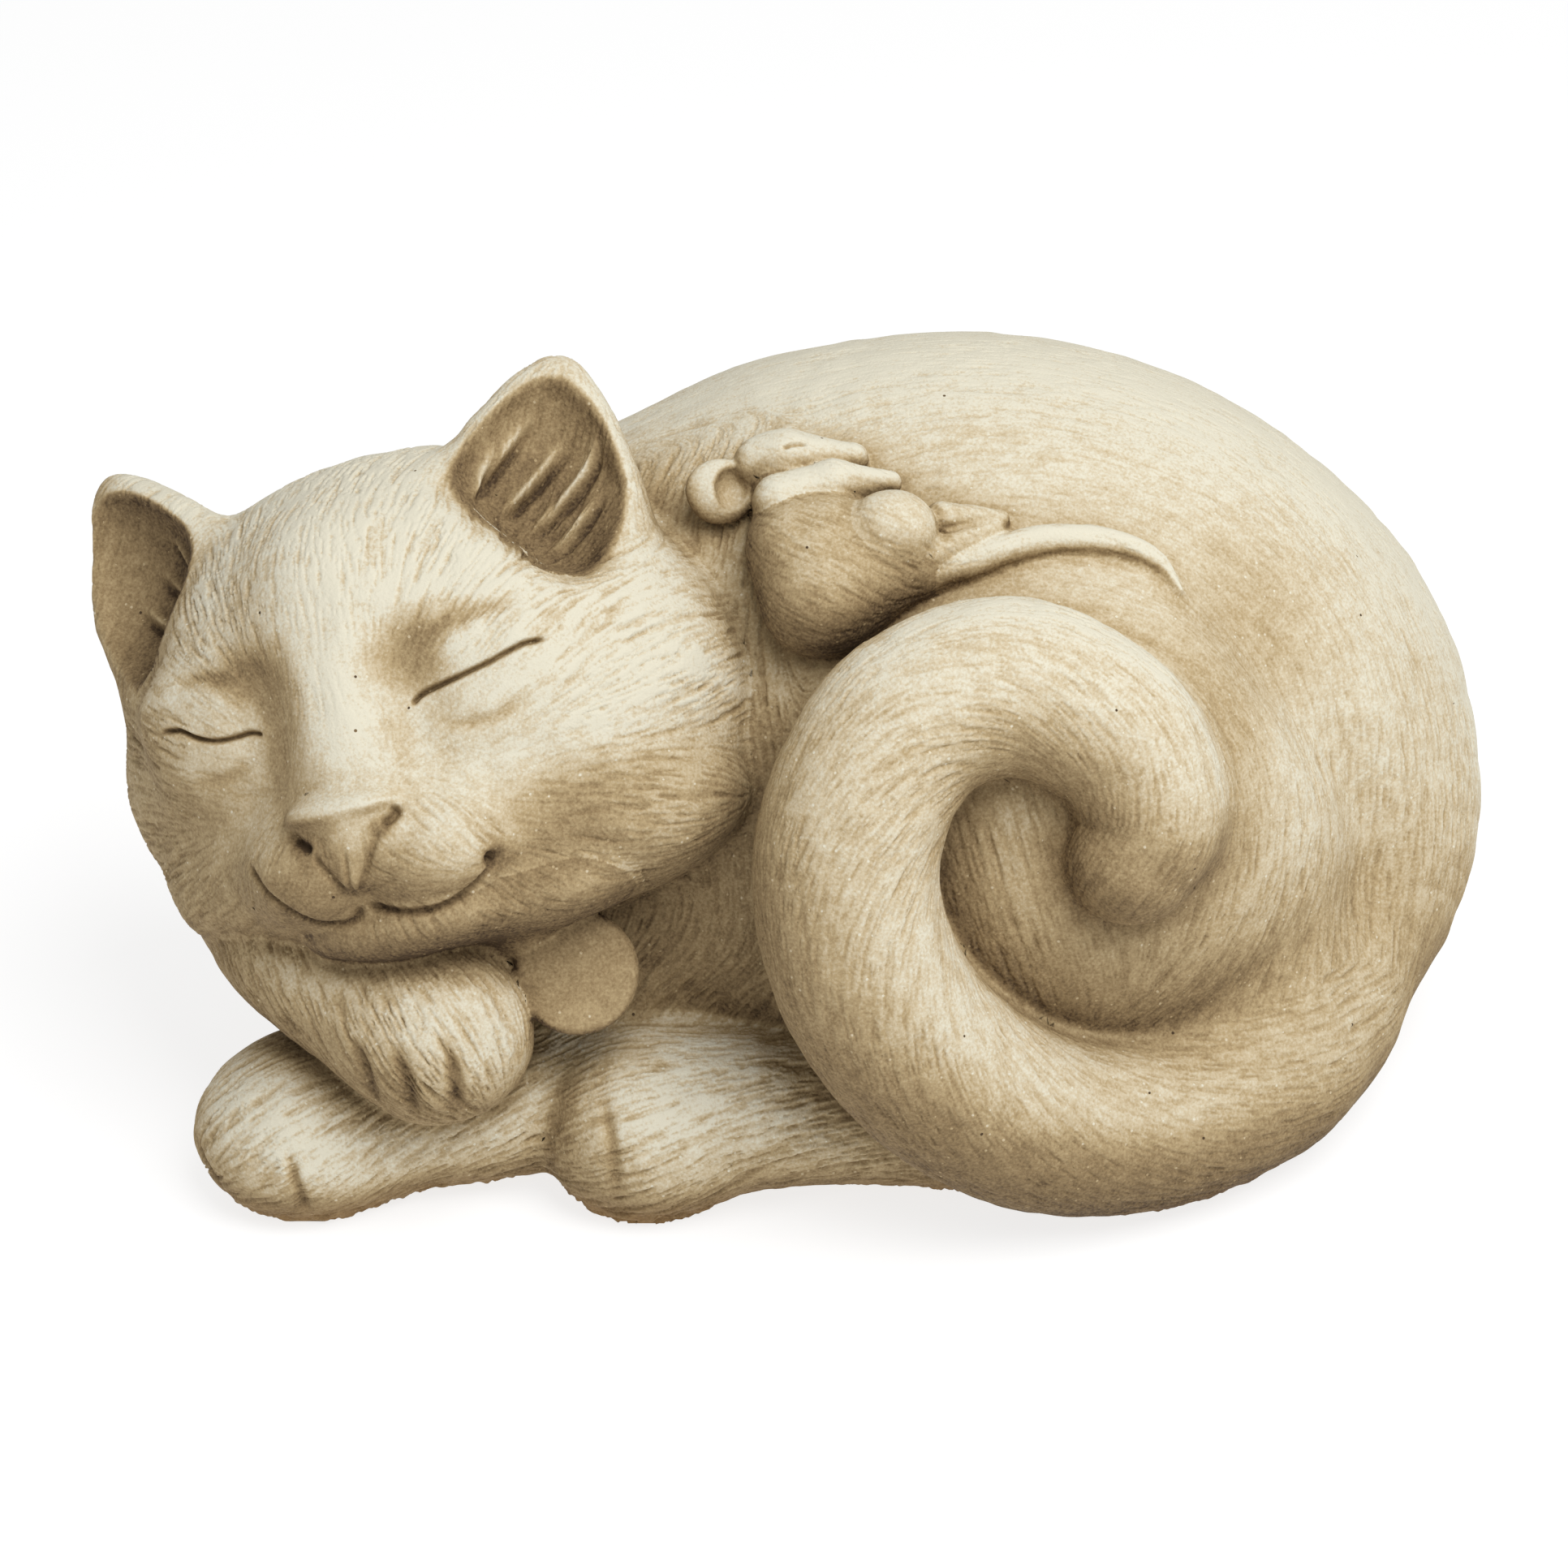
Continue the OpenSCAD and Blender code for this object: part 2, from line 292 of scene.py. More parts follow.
def ear_turn(side):
    """Rows: across the ear, up it, and out of its hollow."""
    up = EAR_TIPS[side] - EAR_ROOTS[side]
    up = up / np.linalg.norm(up)
    out = np.array([math.sin(EAR_SPREAD), 0, math.cos(EAR_SPREAD)])
    out = out - up * (out @ up)
    out = out / np.linalg.norm(out)
    return np.stack([np.cross(up, out), up, out])


EAR_TURNS = {side: ear_turn(side) for side in (-1, 1)}
EAR_HEIGHTS = {side: np.linalg.norm(EAR_TIPS[side] - EAR_ROOTS[side]) for side in (-1, 1)}


def in_ear(p, side):
    """Across the ear, away from the face's midline, then up it, then out of its hollow.

    Across is stretched toward the tip, so that the ear comes out pointed.
    """
    v = in_face(p) * np.float32([side, 1, 1]) - np.float32(EAR_ROOTS[side])
    v = v @ np.float32(EAR_TURNS[side].T)
    v[:, 0] /= 1 - 0.012 * np.clip(v[:, 1] - 20, 0, 25)
    return v


def on_ear(side, *points):
    v = np.array(points, float) @ EAR_TURNS[side] + EAR_ROOTS[side]
    return on_head(*(v * (side, 1, 1) + (FACE_MIDLINE, 0, 0)))


def ear_hollow(v, side):
    bowl = egg(v, (0, 17.5, 10.5), (EAR_HALF_WIDTHS[side] - 5, EAR_HEIGHTS[side] - 21, 13))
    brow = v @ np.float32([0.51, 0.86, 0]) - 2
    return carve(bowl, brow, 7)


def ear(p, side):
    v = in_ear(p, side)
    shell = egg(v, (0, 2, 0), (EAR_HALF_WIDTHS[side], EAR_HEIGHTS[side] - 2, 10))
    return carve(shell, ear_hollow(v, side), 2)


def ear_left(p):
    return ear(p, 1)


def ear_right(p):
    return ear(p, -1)


# ---- The limbs and the tail ----

LOWER = curve(
    beside(
        "forepaw_lower",
        (-27.9, 1.5, -2.5),
        (-7.9, 3.5, -0.5),
        (18.1, 7.5, 0.5),
        (40.1, 9.5, 1.5),
    ),
    5,
)
LOWER_TOES = beside("forepaw_lower", (-30.9, -0.5, -3.5))
UPPER = curve(
    beside(
        "forepaw_upper",
        (-21.2, 22.6, 9.1),
        (-14.2, 6.6, 8.6),
        (-1.2, -5.4, 4.6),
        (12, -12.4, 1.1),
    ),
    5,
)
UPPER_TOES = beside("forepaw_upper", (13.5, -12.6, 1.6))
HIND = curve(
    beside("hind_paw", (-27.2, 3.2, -2.4), (-7.2, 3.2, 0.6), (14.8, 5.2, -1.4), (38.8, 5.2, -5.4)),
    5,
)
HIND_TOES = beside("hind_paw", (-28.2, 1.2, -2.4))
TAIL = curve(
    beside(
        "tail",
        (48.5, 29, -41.2),
        (39.8, 16, -44.2),
        (18.8, 2, -45.2),
        (-5.2, -8, -38.2),
        (-25.2, -13, -21.2),
        (-37.2, -13, 0.8),
        (-39.2, -8, 22.8),
        (-29.2, 1, 40.8),
        (-10.2, 6, 46.8),
        (8.8, 4, 38.8),
        (16.2, -1, 25.3),
        (13, -4, 16.3),
    ),
    7,
)
TAIL_RADII = np.interp(np.linspace(0, 1, len(TAIL)), [0, 0.75, 1], [19, 16.5, 12.5])


def forepaw_lower(p):
    arm = chain(p, LOWER, np.linspace(17, 16, len(LOWER)))
    return join(arm, egg(p, LOWER_TOES, (21, 20, 16)), 8)


def forepaw_upper(p):
    arm = chain(p, UPPER, np.linspace(15, 14, len(UPPER)))
    return join(arm, egg(p, UPPER_TOES, (18, 15, 18)), 8)


def hind_paw(p):
    leg = chain(p, HIND, np.linspace(18, 13, len(HIND)))
    return join(leg, egg(p, HIND_TOES, (19, 17, 18)), 8)


def tail(p):
    return chain(p, TAIL, TAIL_RADII)


# ---- The round tag ----

TAG_FOOT = beside("medallion", (0, 1.2, -0.8))
TAG_AXIS = np.array([0, -math.sin(math.radians(60)), math.cos(math.radians(60))])
TAG_RADIUS = 11.8
TAG_THICKNESS = 2.6


def medallion(p):
    q = p - np.float32(TAG_FOOT)
    height = q @ np.float32(TAG_AXIS)
    out = length(q - height[:, None] * np.float32(TAG_AXIS)) - TAG_RADIUS
    return carve(out, -(np.abs(height - TAG_THICKNESS / 2) - TAG_THICKNESS / 2), 1.5)


# ---- The mouse ----

# The mouse lies against the back, so it is shaped in a frame that faces out of it:
# across, up and out.
RELIEF = np.array([[1, 0, 0], [0, 0.5, -0.866], [0, 0.866, 0.5]])

MOUSE = beside(
    "mouse_body",
    (-3.9, 1.8, 1.6),
    (-0.1, -4.8, -3.7),
    (0.7, -4.3, -3.4),
    (16.7, -2.8, -0.4),
)
MOUSE_HEAD = beside("mouse_head", (-3.8, 0.2, -2.7), (-0.9, -0.5, -2.2), (9.9, -0.9, -1.3))
MOUSE_EAR = beside("mouse_ear", (1, -3, -1.5))
MOUSE_ARM = beside("mouse_arm", (-10.4, -3.6, -4), (-0.3, -1, -2.2), (10.1, 1.1, -2.4))
MOUSE_LEG = beside(
    "mouse_leg",
    (-5.8, -0.6, -0.8),
    (2.4, -2.1, -4.2),
    (14, 3.7, -1.9),
    (4, 4.7, -0.3),
    (15, 5.6, -0.9),
)
MOUSE_TAIL = curve(
    beside(
        "mouse_tail",
        (-24.1, -3.3, -1.7),
        (-16.2, -1.7, 0.1),
        (-7.7, 1.2, 2),
        (2.1, 3.5, 2.2),
        (11.9, 4, 0.3),
        (18.7, 3, -2.7),
        (22.6, -0.6, -6.4),
    ),
    3,
)
MOUSE_TAIL_RADII = (3.4, 3.2, 3.1, 2.9, 2.6, 2.1, 1.1)
MOUSE_EYE = beside("mouse_head", (-3.4, -3.6, 1.6), (-1, -3, 2.4), (1.5, -2.5, 2.1))


def in_relief(p, centre):
    return (p - np.float32(centre)) @ np.float32(RELIEF)


def mouse_body(p):
    chest = limb(p, MOUSE[0], MOUSE[1], 10.5, 11.8)
    nape = limb(p, MOUSE[0], MOUSE_HEAD[0] + (0, 2, -2), 9, 5.5)
    breast = limb(p, MOUSE[0] + (6, 0, 1), MOUSE[3] + (-8, 2, 1), 10, 8)
    return join(join(join(chest, nape, 3), breast, 3), limb(p, MOUSE[2], MOUSE[3], 10, 5.5), 6)


def mouse_head(p):
    skull = egg(in_relief(p, MOUSE_HEAD[0]), (0, 0, 0), (8.8, 5.9, 5.6))
    return join(skull, limb(p, MOUSE_HEAD[1], MOUSE_HEAD[2], 5, 3.2), 4)


def mouse_ear(p):
    q = in_relief(p, MOUSE_EAR)
    disc = egg(q, (0, 0, 0), (6.6, 6.3, 3))
    return carve(disc, egg(q, (2.4, 0.6, 3), (3.3, 4.3, 3.2)), 1)


def mouse_arm(p):
    upper = limb(p, MOUSE_ARM[0], MOUSE_ARM[1], 5.4, 4.8)
    return join(upper, limb(p, MOUSE_ARM[1], MOUSE_ARM[2], 4.8, 2.4), 2)


def mouse_leg(p):
    thigh = egg(in_relief(p, MOUSE_LEG[0]), (0, 0, 0), (9, 8.2, 7))
    near_foot = limb(p, MOUSE_LEG[1], MOUSE_LEG[2], 3, 1.9)
    far_foot = limb(p, MOUSE_LEG[3], MOUSE_LEG[4], 3.3, 1.7)
    return join(thigh, join(near_foot, far_foot, 1), 1.5)


def mouse_tail(p):
    spots = np.linspace(0, 6, len(MOUSE_TAIL))
    return chain(p, MOUSE_TAIL, np.interp(spots, range(7), MOUSE_TAIL_RADII))


# ---- All members together ----

# Each member, and the width over which it melts into what lies under it
MEMBERS = [
    (body, 0),
    (head, 3),
    (muzzle, 7),
    (nose, 2),
    (chin, 4),
    (ear_left, 5),
    (ear_right, 5),
    (forepaw_lower, 6),
    (forepaw_upper, 2),
    (hind_paw, 3),
    (tail, 3),
    (medallion, 1),
    (mouse_body, 1.5),
    (mouse_head, 1.5),
    (mouse_ear, 1),
    (mouse_arm, 1),
    (mouse_leg, 2),
    (mouse_tail, 1.5),
]
NAMES = [shape.__name__ for shape, melt in MEMBERS]
NUMBER = {name: i + 1 for i, name in enumerate(NAMES)}
# How far past the box of its node a member is still felt
ROOM = 26.0
# The root of the tail melts into the rump more widely, from one place along x to another
ROOT_MELT = 16
ROOT_START, ROOT_END = (beside("tail", (x, 0, 0))[0] for x in (10, 52))


def reach_of(node):
    low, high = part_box(node)
    return np.float32(np.array(low) / MM - ROOM), np.float32(np.array(high) / MM + ROOM)


REACHES = [reach_of(name) for name in NAMES]


def field(p, with_member=False):
    """Distance to the whole figure, and the number of the member that is nearest."""
    p = np.asarray(p, np.float32)
    d = body(p)
    nearest = d.copy()
    member = np.ones(len(p), np.int8)
    for i in range(1, len(MEMBERS)):
        shape, melt = MEMBERS[i]
        low, high = REACHES[i]
        near = np.flatnonzero(((p > low) & (p < high)).all(1))
        if len(near) == 0:
            continue
        own = shape(p[near])
        mine = own < nearest[near]
        member[near[mine]] = i + 1
        nearest[near] = np.minimum(nearest[near], own)
        if shape is tail:
            melt = melt + ROOT_MELT * ramp(p[near, 0], ROOT_START, ROOT_END)
        d[near] = join(d[near], own, melt)
    d = np.maximum(d, -p[:, 2])
    return (d, member) if with_member else d


# Corners of a tetrahedron round a point, where the distance is sampled for its slope
CORNERS = np.array([(1, -1, -1), (-1, 1, -1), (-1, -1, 1), (1, 1, 1)], np.float32)


def slope(p, step=0.25):
    """The direction in which the distance grows fastest."""
    total = np.zeros((len(p), 3), np.float32)
    for corner in CORNERS:
        total += corner * field(p + step * corner)[:, None]
    return total / np.maximum(length(total), 1e-9)[:, None]


def settle(p, rounds=2):
    """Moves points onto the surface."""
    p = np.array(p, np.float32).reshape(-1, 3)
    for _ in range(rounds):
        p = p - slope(p) * np.clip(field(p), -1.5, 1.5)[:, None]
    p[:, 2] = np.maximum(p[:, 2], 0)
    return p


def bury(p, depth=5.0, reach=9.0):
    """Draws the sheets between members back from the surface, so that no crease lays them bare."""
    d = field(p)
    moved = p - slope(p) * (depth * np.clip(1 + d / reach, 0, 1))[:, None]
    return np.where((field(moved) < d - 0.4)[:, None], moved, p)


# ---- From the distances to one net over all members ----


def sample_grid():
    """Distance and member at the corners of a grid: fine near the surface, coarse elsewhere."""
    low, high = (np.array(c) / MM for c in bounds_at_start)
    low = np.array([low[0] - 4, low[1] - 4, -2.5 * GRID])
    coarse = GRID * BLOCK
    blocks = np.ceil((high + 4 - low) / coarse).astype(int) + 1
    axes = [low[i] + coarse * (np.arange(blocks[i]) + 0.5) for i in range(3)]
    centres = np.stack(np.meshgrid(*axes, indexing="ij"), -1).reshape(-1, 3)
    d, member = field(centres, True)
    d[centres[:, 2] < coarse] = 0
    near = np.abs(d) < coarse * 1.1
    shape = tuple(blocks * BLOCK)

    def spread(values):
        values = values.reshape(tuple(blocks))
        for axis in range(3):
            values = np.repeat(values, BLOCK, axis)
        return np.ascontiguousarray(values)

    distance = spread(d.astype(np.float32))
    labels = spread(np.where(d < 0, member, 0).astype(np.int8))
    todo = np.flatnonzero(spread(near).ravel())
    index = np.stack(np.unravel_index(todo, shape), 1)
    points = (low + GRID * (index + 0.5)).astype(np.float32)
    d, member = field(points, True)
    distance.ravel()[todo] = d
    labels.ravel()[todo] = np.where(d < 0, member, 0)
    return low + 0.5 * GRID, distance, labels


def net_of(origin, distance, labels):
    """One vertex in each cell where members meet, and a face across each grid edge between them."""
    shape = np.array(labels.shape)
    number = np.full(labels.shape, -1, np.int32)
    cells, spots, weights, quads, sides = [], [], [], [], []
    for axis in range(3):
        first = [slice(None)] * 3
        second = [slice(None)] * 3
        first[axis], second[axis] = slice(0, -1), slice(1, None)
        a, b = labels[tuple(first)], labels[tuple(second)]
        i = np.stack(np.nonzero(a != b), 1)
        i = i[((i > 0) & (i < shape - 1)).all(1)]
        step = np.zeros(3, int)
        step[axis] = 1
        la, lb = labels[tuple(i.T)], labels[tuple((i + step).T)]
        da, db = distance[tuple(i.T)], distance[tuple((i + step).T)]
        outer = (la == 0) | (lb == 0)
        t = np.where(outer, np.clip(da / np.where(da == db, 1, da - db), 0.02, 0.98), 0.5)
        spot = i + t[:, None] * step
        u, v = (axis + 1) % 3, (axis + 2) % 3
        ring = []
        for du, dv in ((-1, -1), (0, -1), (0, 0), (-1, 0)):
            cell = i.copy()
            cell[:, u] += du
            cell[:, v] += dv
            ring.append(np.ravel_multi_index(tuple(cell.T), labels.shape))
            cells.append(ring[-1])
            spots.append(spot)
            weights.append(np.where(outer, 1.0, 1e-4))
        quads.append(np.stack(ring, 1))
        sides.append(np.stack([la, lb], 1))
    cells, spots, weights = np.concatenate(cells), np.concatenate(spots), np.concatenate(weights)
    used, slot = np.unique(cells, return_inverse=True)
    total = np.bincount(slot, weights)
    points = np.stack([np.bincount(slot, weights * spots[:, k]) / total for k in range(3)], 1)
    number.ravel()[used] = np.arange(len(used))
    quads = number.ravel()[np.concatenate(quads)]
    return (origin + GRID * points).astype(np.float32), quads, np.concatenate(sides)


def triangles_of(points, quads, sides):
    """Triangles, each with the member behind it and then the member in front, 0 for air."""
    flip = (sides[:, 0] == 0) | ((sides[:, 1] != 0) & (sides[:, 1] < sides[:, 0]))
    quads[flip] = quads[flip][:, ::-1]
    sides[flip] = sides[flip][:, ::-1]
    short = length(points[quads[:, 0]] - points[quads[:, 2]]) < length(
        points[quads[:, 1]] - points[quads[:, 3]]
    )
    one = np.where(short[:, None], quads[:, [0, 1, 2]], quads[:, [0, 1, 3]])
    two = np.where(short[:, None], quads[:, [0, 2, 3]], quads[:, [1, 2, 3]])
    return np.concatenate([one, two]), np.concatenate([sides, sides])


def edges_of(triangles):
    """Each edge once, and the number of the edge after each corner of each triangle."""
    a = triangles
    b = np.roll(triangles, -1, axis=1)
    key = np.minimum(a, b).astype(np.int64) << 32 | np.maximum(a, b)
    keys, inverse = np.unique(key.ravel(), return_inverse=True)
    return np.stack([keys >> 32, keys & 0xFFFFFFFF], 1), inverse.reshape(-1, 3)


def normals_of(points, triangles):
    corners = points[triangles]
    face = np.cross(corners[:, 1] - corners[:, 0], corners[:, 2] - corners[:, 0])
    total = np.stack(
        [
            np.bincount(triangles.ravel(), np.repeat(face[:, k], 3), len(points))
            for k in range(3)
        ],
        1,
    )
    return (total / np.maximum(length(total), 1e-12)[:, None]).astype(np.float32)


def wanted_edge(points, normals):
    facing = normals @ TO_CAMERA
    size = np.where(facing > -0.15, FRONT_EDGE, BACK_EDGE)
    close = np.full(len(points), 1e9, np.float32)
    for mark in MARKS:
        if mark.fine:
            close = np.minimum(close, mark.distance(points))
    return np.minimum(size, FINE_EDGE + 0.25 * np.maximum(close - 1.0, 0))


def divide(points, triangles, sides):
    """Splits every edge that is too long, on the outer surface, at its middle."""
    outer = sides[:, 1] == 0
    flat = points[triangles][:, :, 2].max(1) < FLAT_HEIGHT
    edges, corner_edge = edges_of(triangles)
    live = np.zeros(len(edges), bool)
    live[corner_edge[outer & ~flat].ravel()] = True
    normals = normals_of(points, triangles[outer])
    middle_points = (points[edges[:, 0]] + points[edges[:, 1]]) / 2
    size = np.full(len(edges), 1e9, np.float32)
    ids = np.flatnonzero(live)
    size[ids] = wanted_edge(
        middle_points[ids], (normals[edges[ids, 0]] + normals[edges[ids, 1]]) / 2
    )
    cut = live & (length(points[edges[:, 0]] - points[edges[:, 1]]) > 1.4 * size)
    if not cut.any():
        return points, triangles, sides, False
    new = np.full(len(edges), -1, np.int64)
    new[cut] = len(points) + np.arange(cut.sum())
    points = np.concatenate([points, settle(middle_points[cut], 1)])
    mid = new[corner_edge]
    count = (mid >= 0).sum(1)
    out_triangles, out_sides = [triangles[count == 0]], [sides[count == 0]]

    def turned(rows, start):
        """The triangles' corners and edge middles, each turned so that start comes first."""
        pick = (start[:, None] + np.arange(3)) % 3
        take = np.arange(len(rows))[:, None]
        return triangles[rows][take, pick].T, mid[rows][take, pick].T

    rows = np.flatnonzero(count == 1)
    (a, b, c), (m, _, _) = turned(rows, np.argmax(mid[rows] >= 0, axis=1))
    for piece in ((a, m, c), (m, b, c)):
        out_triangles.append(np.stack(piece, 1))
        out_sides.append(sides[rows])
    rows = np.flatnonzero(count == 2)
    (a, b, c), (m, n, _) = turned(rows, (np.argmin(mid[rows] >= 0, axis=1) + 1) % 3)
    for piece in ((m, b, n), (a, m, n), (a, n, c)):
        out_triangles.append(np.stack(piece, 1))
        out_sides.append(sides[rows])
    rows = np.flatnonzero(count == 3)
    (a, b, c), (m, n, o) = turned(rows, np.zeros(len(rows), int))
    for piece in ((a, m, o), (m, b, n), (o, n, c), (m, n, o)):
        out_triangles.append(np.stack(piece, 1))
        out_sides.append(sides[rows])
    return points, np.concatenate(out_triangles), np.concatenate(out_sides), True


# ---- Marks: creases, slits, folds and tufts that the sculptor's tool left ----


class Mark:
    """A line on the surface: its depth, half width, taper of its ends, and if it is fine."""

    def __init__(self, path, depth, width, taper=0.25, fine=True, steps=4):
        self.path = curve(settle(curve(path, 2), 6), steps)
        self.depth, self.width, self.taper, self.fine = depth, width, taper, fine
        self.low = np.float32(self.path.min(0) - 3.2 * width - 1)
        self.high = np.float32(self.path.max(0) + 3.2 * width + 1)

    def follow(self, p):
        best = np.full(len(p), 1e9, np.float32)
        share = np.zeros(len(p), np.float32)
        gaps = len(self.path) - 1
        for i in range(gaps):
            a, b = np.float32(self.path[i]), np.float32(self.path[i + 1])
            along = b - a
            q = p - a
            t = np.clip(q @ along / (along @ along), 0, 1)
            d = length(q - t[:, None] * along)
            closer = d < best
            best = np.where(closer, d, best)
            share = np.where(closer, (i + t) / gaps, share)
        return best, share

    def distance(self, p):
        out = np.full(len(p), 1e9, np.float32)
        near = np.flatnonzero(((p > self.low) & (p < self.high)).all(1))
        if len(near):
            out[near] = self.follow(p[near])[0]
        return out

    def sink(self, p):
        out = np.zeros(len(p), np.float32)
        near = np.flatnonzero(((p > self.low) & (p < self.high)).all(1))
        if len(near):
            d, share = self.follow(p[near])
            ends = ramp(np.minimum(share, 1 - share), 0, self.taper)
            out[near] = self.depth * ends * np.exp(-((d / self.width) ** 2))
        return out


def face_line(*spots):
    """A line drawn on the face from points across it, from its midline, and up it."""
    p = np.float32(on_head(*[(u + FACE_MIDLINE, v, 70) for u, v in spots]))
    for _ in range(60):
        p = p - np.float32(FACE_OUT) * (0.8 * field(p))[:, None]
    return p


# Lines on the face: points across and up it, then depth, half width and taper
FACE_LINES = [
    # Eye slits
    (
        ((14.5, 1.4), (17, 3.2), (23.8, 4.6), (30.5, 6), (37, 7.8), (41.5, 7.6)),
        1.9, 0.5, 0.1,
    ),
    (
        ((-15.5, 2.2), (-18.2, 3.2), (-22, 3), (-26, 3.3), (-30, 4.8), (-33, 6.6), (-38, 7)),
        1.8, 0.48, 0.1,
    ),
    # Mouth, its deep corner, and the other half of it
    (
        ((-2, -32.1), (4.2, -34.8), (11, -35.7), (16.6, -34.4), (21.4, -31.6), (24, -29.4)),
        1.4, 0.7, 0.08,
    ),
    (((22, -30.4), (23.6, -29.2), (25.6, -29.2)), 2.6, 1.5, 0.5),
    (
        ((-2, -32.1), (-5, -34.6), (-11, -34), (-16, -29.5), (-20.5, -23.5), (-23, -20)),
        1.1, 0.7, 0.1,
    ),
    # Nostrils, the edges of the nose leather, and the cleft under it
    (((10.4, -15), (9.6, -17), (6.6, -18.6)), 1.8, 0.9, 0.3),
    (((7, -18), (4.4, -22), (1, -27), (-1.4, -30)), 0.8, 0.7, 0.2),
    (((-12.4, -16), (-9.4, -18.6), (-7.2, -20.5)), 2.0, 0.9, 0.3),
    (((-7.4, -20.4), (-5.2, -25), (-2.8, -29.4)), 0.9, 0.7, 0.2),
    (((-0.5, -20), (-1.2, -24), (-2, -28), (-2, -32)), 0.6, 0.5, 0.3),
    # Folds over and under the lids
    (((17, 13), (25, 15), (33, 16), (41, 15)), 0.7, 1.6, 0.35),
    (((-17, 13), (-25, 15), (-33, 16)), 0.7, 1.6, 0.35),
    (((17, -1.5), (25, -4), (33, -3), (40, 1)), 0.5, 1.3, 0.35),
    (((-17, -1.5), (-25, -4), (-33, -3)), 0.5, 1.3, 0.35),
]

# Tufts of hair in the ears, as points across and up each ear, and the dark gap beside each
TUFT_GAP = (1.9, -0.6)
TUFTS = {
    1: (
        ((-17, 8), (-13, 18), (-8, 29)),
        ((-14.5, 12), (-9, 22), (-3, 33)),
        ((-9, 9), (-2, 19), (4, 31)),
        ((-4, 6), (3, 15), (8, 24), (10, 32)),
        ((3, 4), (8.5, 12), (12, 20)),
    ),
    -1: (
        ((-13, 8), (-9, 18), (-5, 27)),
        ((-8, 4), (-3, 14), (1, 24)),
        ((-2, 3), (4, 12), (7, 20)),
    ),
}

# Depth and half width of the gaps between the toes, and the line of each gap
TOE_GAP_SIZES = {
    "forepaw_upper": (1.4, 1.4),
    "forepaw_lower": (1.1, 1.1),
    "hind_paw": (0.8, 1.4),
}
TOE_GAPS = {
    "forepaw_upper": (
        ((-1, -24, -12), (0, -26.5, -5), (-1, -26, 3), (-3, -24, 8)),
        ((8.4, -28, -12), (9, -29, -5), (8, -28, 3), (5.5, -25, 9)),
        ((17, -26, -12), (18, -28, -5), (17, -27, 4), (14.5, -24, 10)),
    ),
    "forepaw_lower": (
        ((-46.5, -12.8, -13), (-48, -12, -6), (-51.6, -3, -1)),
        ((-28.5, -20.8, -13), (-29.8, -20.8, -5), (-32.6, -17, 6)),
    ),
    "hind_paw": (((-32.5, -15.5, -10), (-33.6, -14.8, 4), (-36, -7, 13)),),
}
# Where the flank sinks behind the haunch
FLANK_FOLD = (
    (42, -36, 52),
    (54, -42, 42),
    (66, -46, 30),
    (78, -46, 16),
    (86, -44, 2),
    (90, -46, -14),
    (86, -52, -28),
    (74, -60, -37),
)


def make_marks():
    marks = [Mark(face_line(*spots), *size) for spots, *size in FACE_LINES]
    for node, gaps in TOE_GAPS.items():
        depth, width = TOE_GAP_SIZES[node]
        marks += [Mark(beside(node, *gap), depth, width, 0.4) for gap in gaps]
    for side, tufts in TUFTS.items():
        for tuft in tufts:
            hair = on_ear(side, *[(a, b, 1) for a, b in tuft])
            gap = on_ear(side, *[(a + TUFT_GAP[0], b + TUFT_GAP[1], 1) for a, b in tuft])
            marks += [Mark(hair, -1.5, 1.0, 0.45), Mark(gap, 1.2, 0.8, 0.45)]
    marks.append(Mark(MOUSE_EYE, 0.9, 0.45, 0.2))
    marks.append(Mark(beside("body", *FLANK_FOLD), 4.0, 9, 0.3, False))
    return marks


MARKS = make_marks()

# ---- Fur: strokes that follow the coat, as averages of noise along its flow ----


def along(p, path, sense=1):
    """The direction of the nearest stretch of a path."""
    best = np.full(len(p), 1e9, np.float32)
    out = np.zeros((len(p), 3), np.float32)
    for i in range(len(path) - 1):
        a, b = np.float32(path[i]), np.float32(path[i + 1])
        d = limb(p, a, b, 0, 0)
        closer = d < best
        best[closer] = d[closer]
        out[closer] = sense * (b - a) / np.linalg.norm(b - a)
    return out


# Cell of the grid that holds the lie of the coat
FLOW_STEP = 1.5
FACE_CENTRE = on_head((-2, -13, 30))[0]
CURL_CENTRE = middle("tail") + (-6, 9, -1)
CURL_AXIS = np.array([0, -0.87, 0.5])


def mixed(a, b, share):
    return a * (1 - share)[:, None] + b * share[:, None]


def body_flow(p, n):
    """Along the spine, down the flanks, and round the curl of the tail on the haunch."""
    down, right = np.float32([0.25, 0, -1]), np.float32([1, 0, 0])
    out = mixed(down, right, ramp(n[:, 2], 0.55, 0.85))
    q = p - np.float32(CURL_CENTRE)
    around = np.cross(q, np.float32(CURL_AXIS))
    radius = length(around)
    around /= np.maximum(radius, 1e-3)[:, None]
    inside = np.float32([0.3, -0.2, -1])
    around = mixed(around, inside, 1 - ramp(radius, 18, 34))
    front = ramp(-n[:, 1], -0.1, 0.3) * ramp(p[:, 0], -8, 10)
    out = mixed(out, around, front)
    chest = ramp(-p[:, 0], -8, 4) * ramp(-n[:, 1], 0, 0.3)
    low = ramp(-p[:, 2], -66, -44)
    hang = mixed(np.float32([0.12, -0.2, -1]), np.float32([-0.75, -0.3, -0.8]), low)
    return mixed(out, hang, chest)


def face_flow(p, n):
    return p - np.float32(FACE_CENTRE)


def ear_flow(p, n):
    return np.tile(np.float32(FACE_UP + 0.6 * FACE_ACROSS), (len(p), 1))


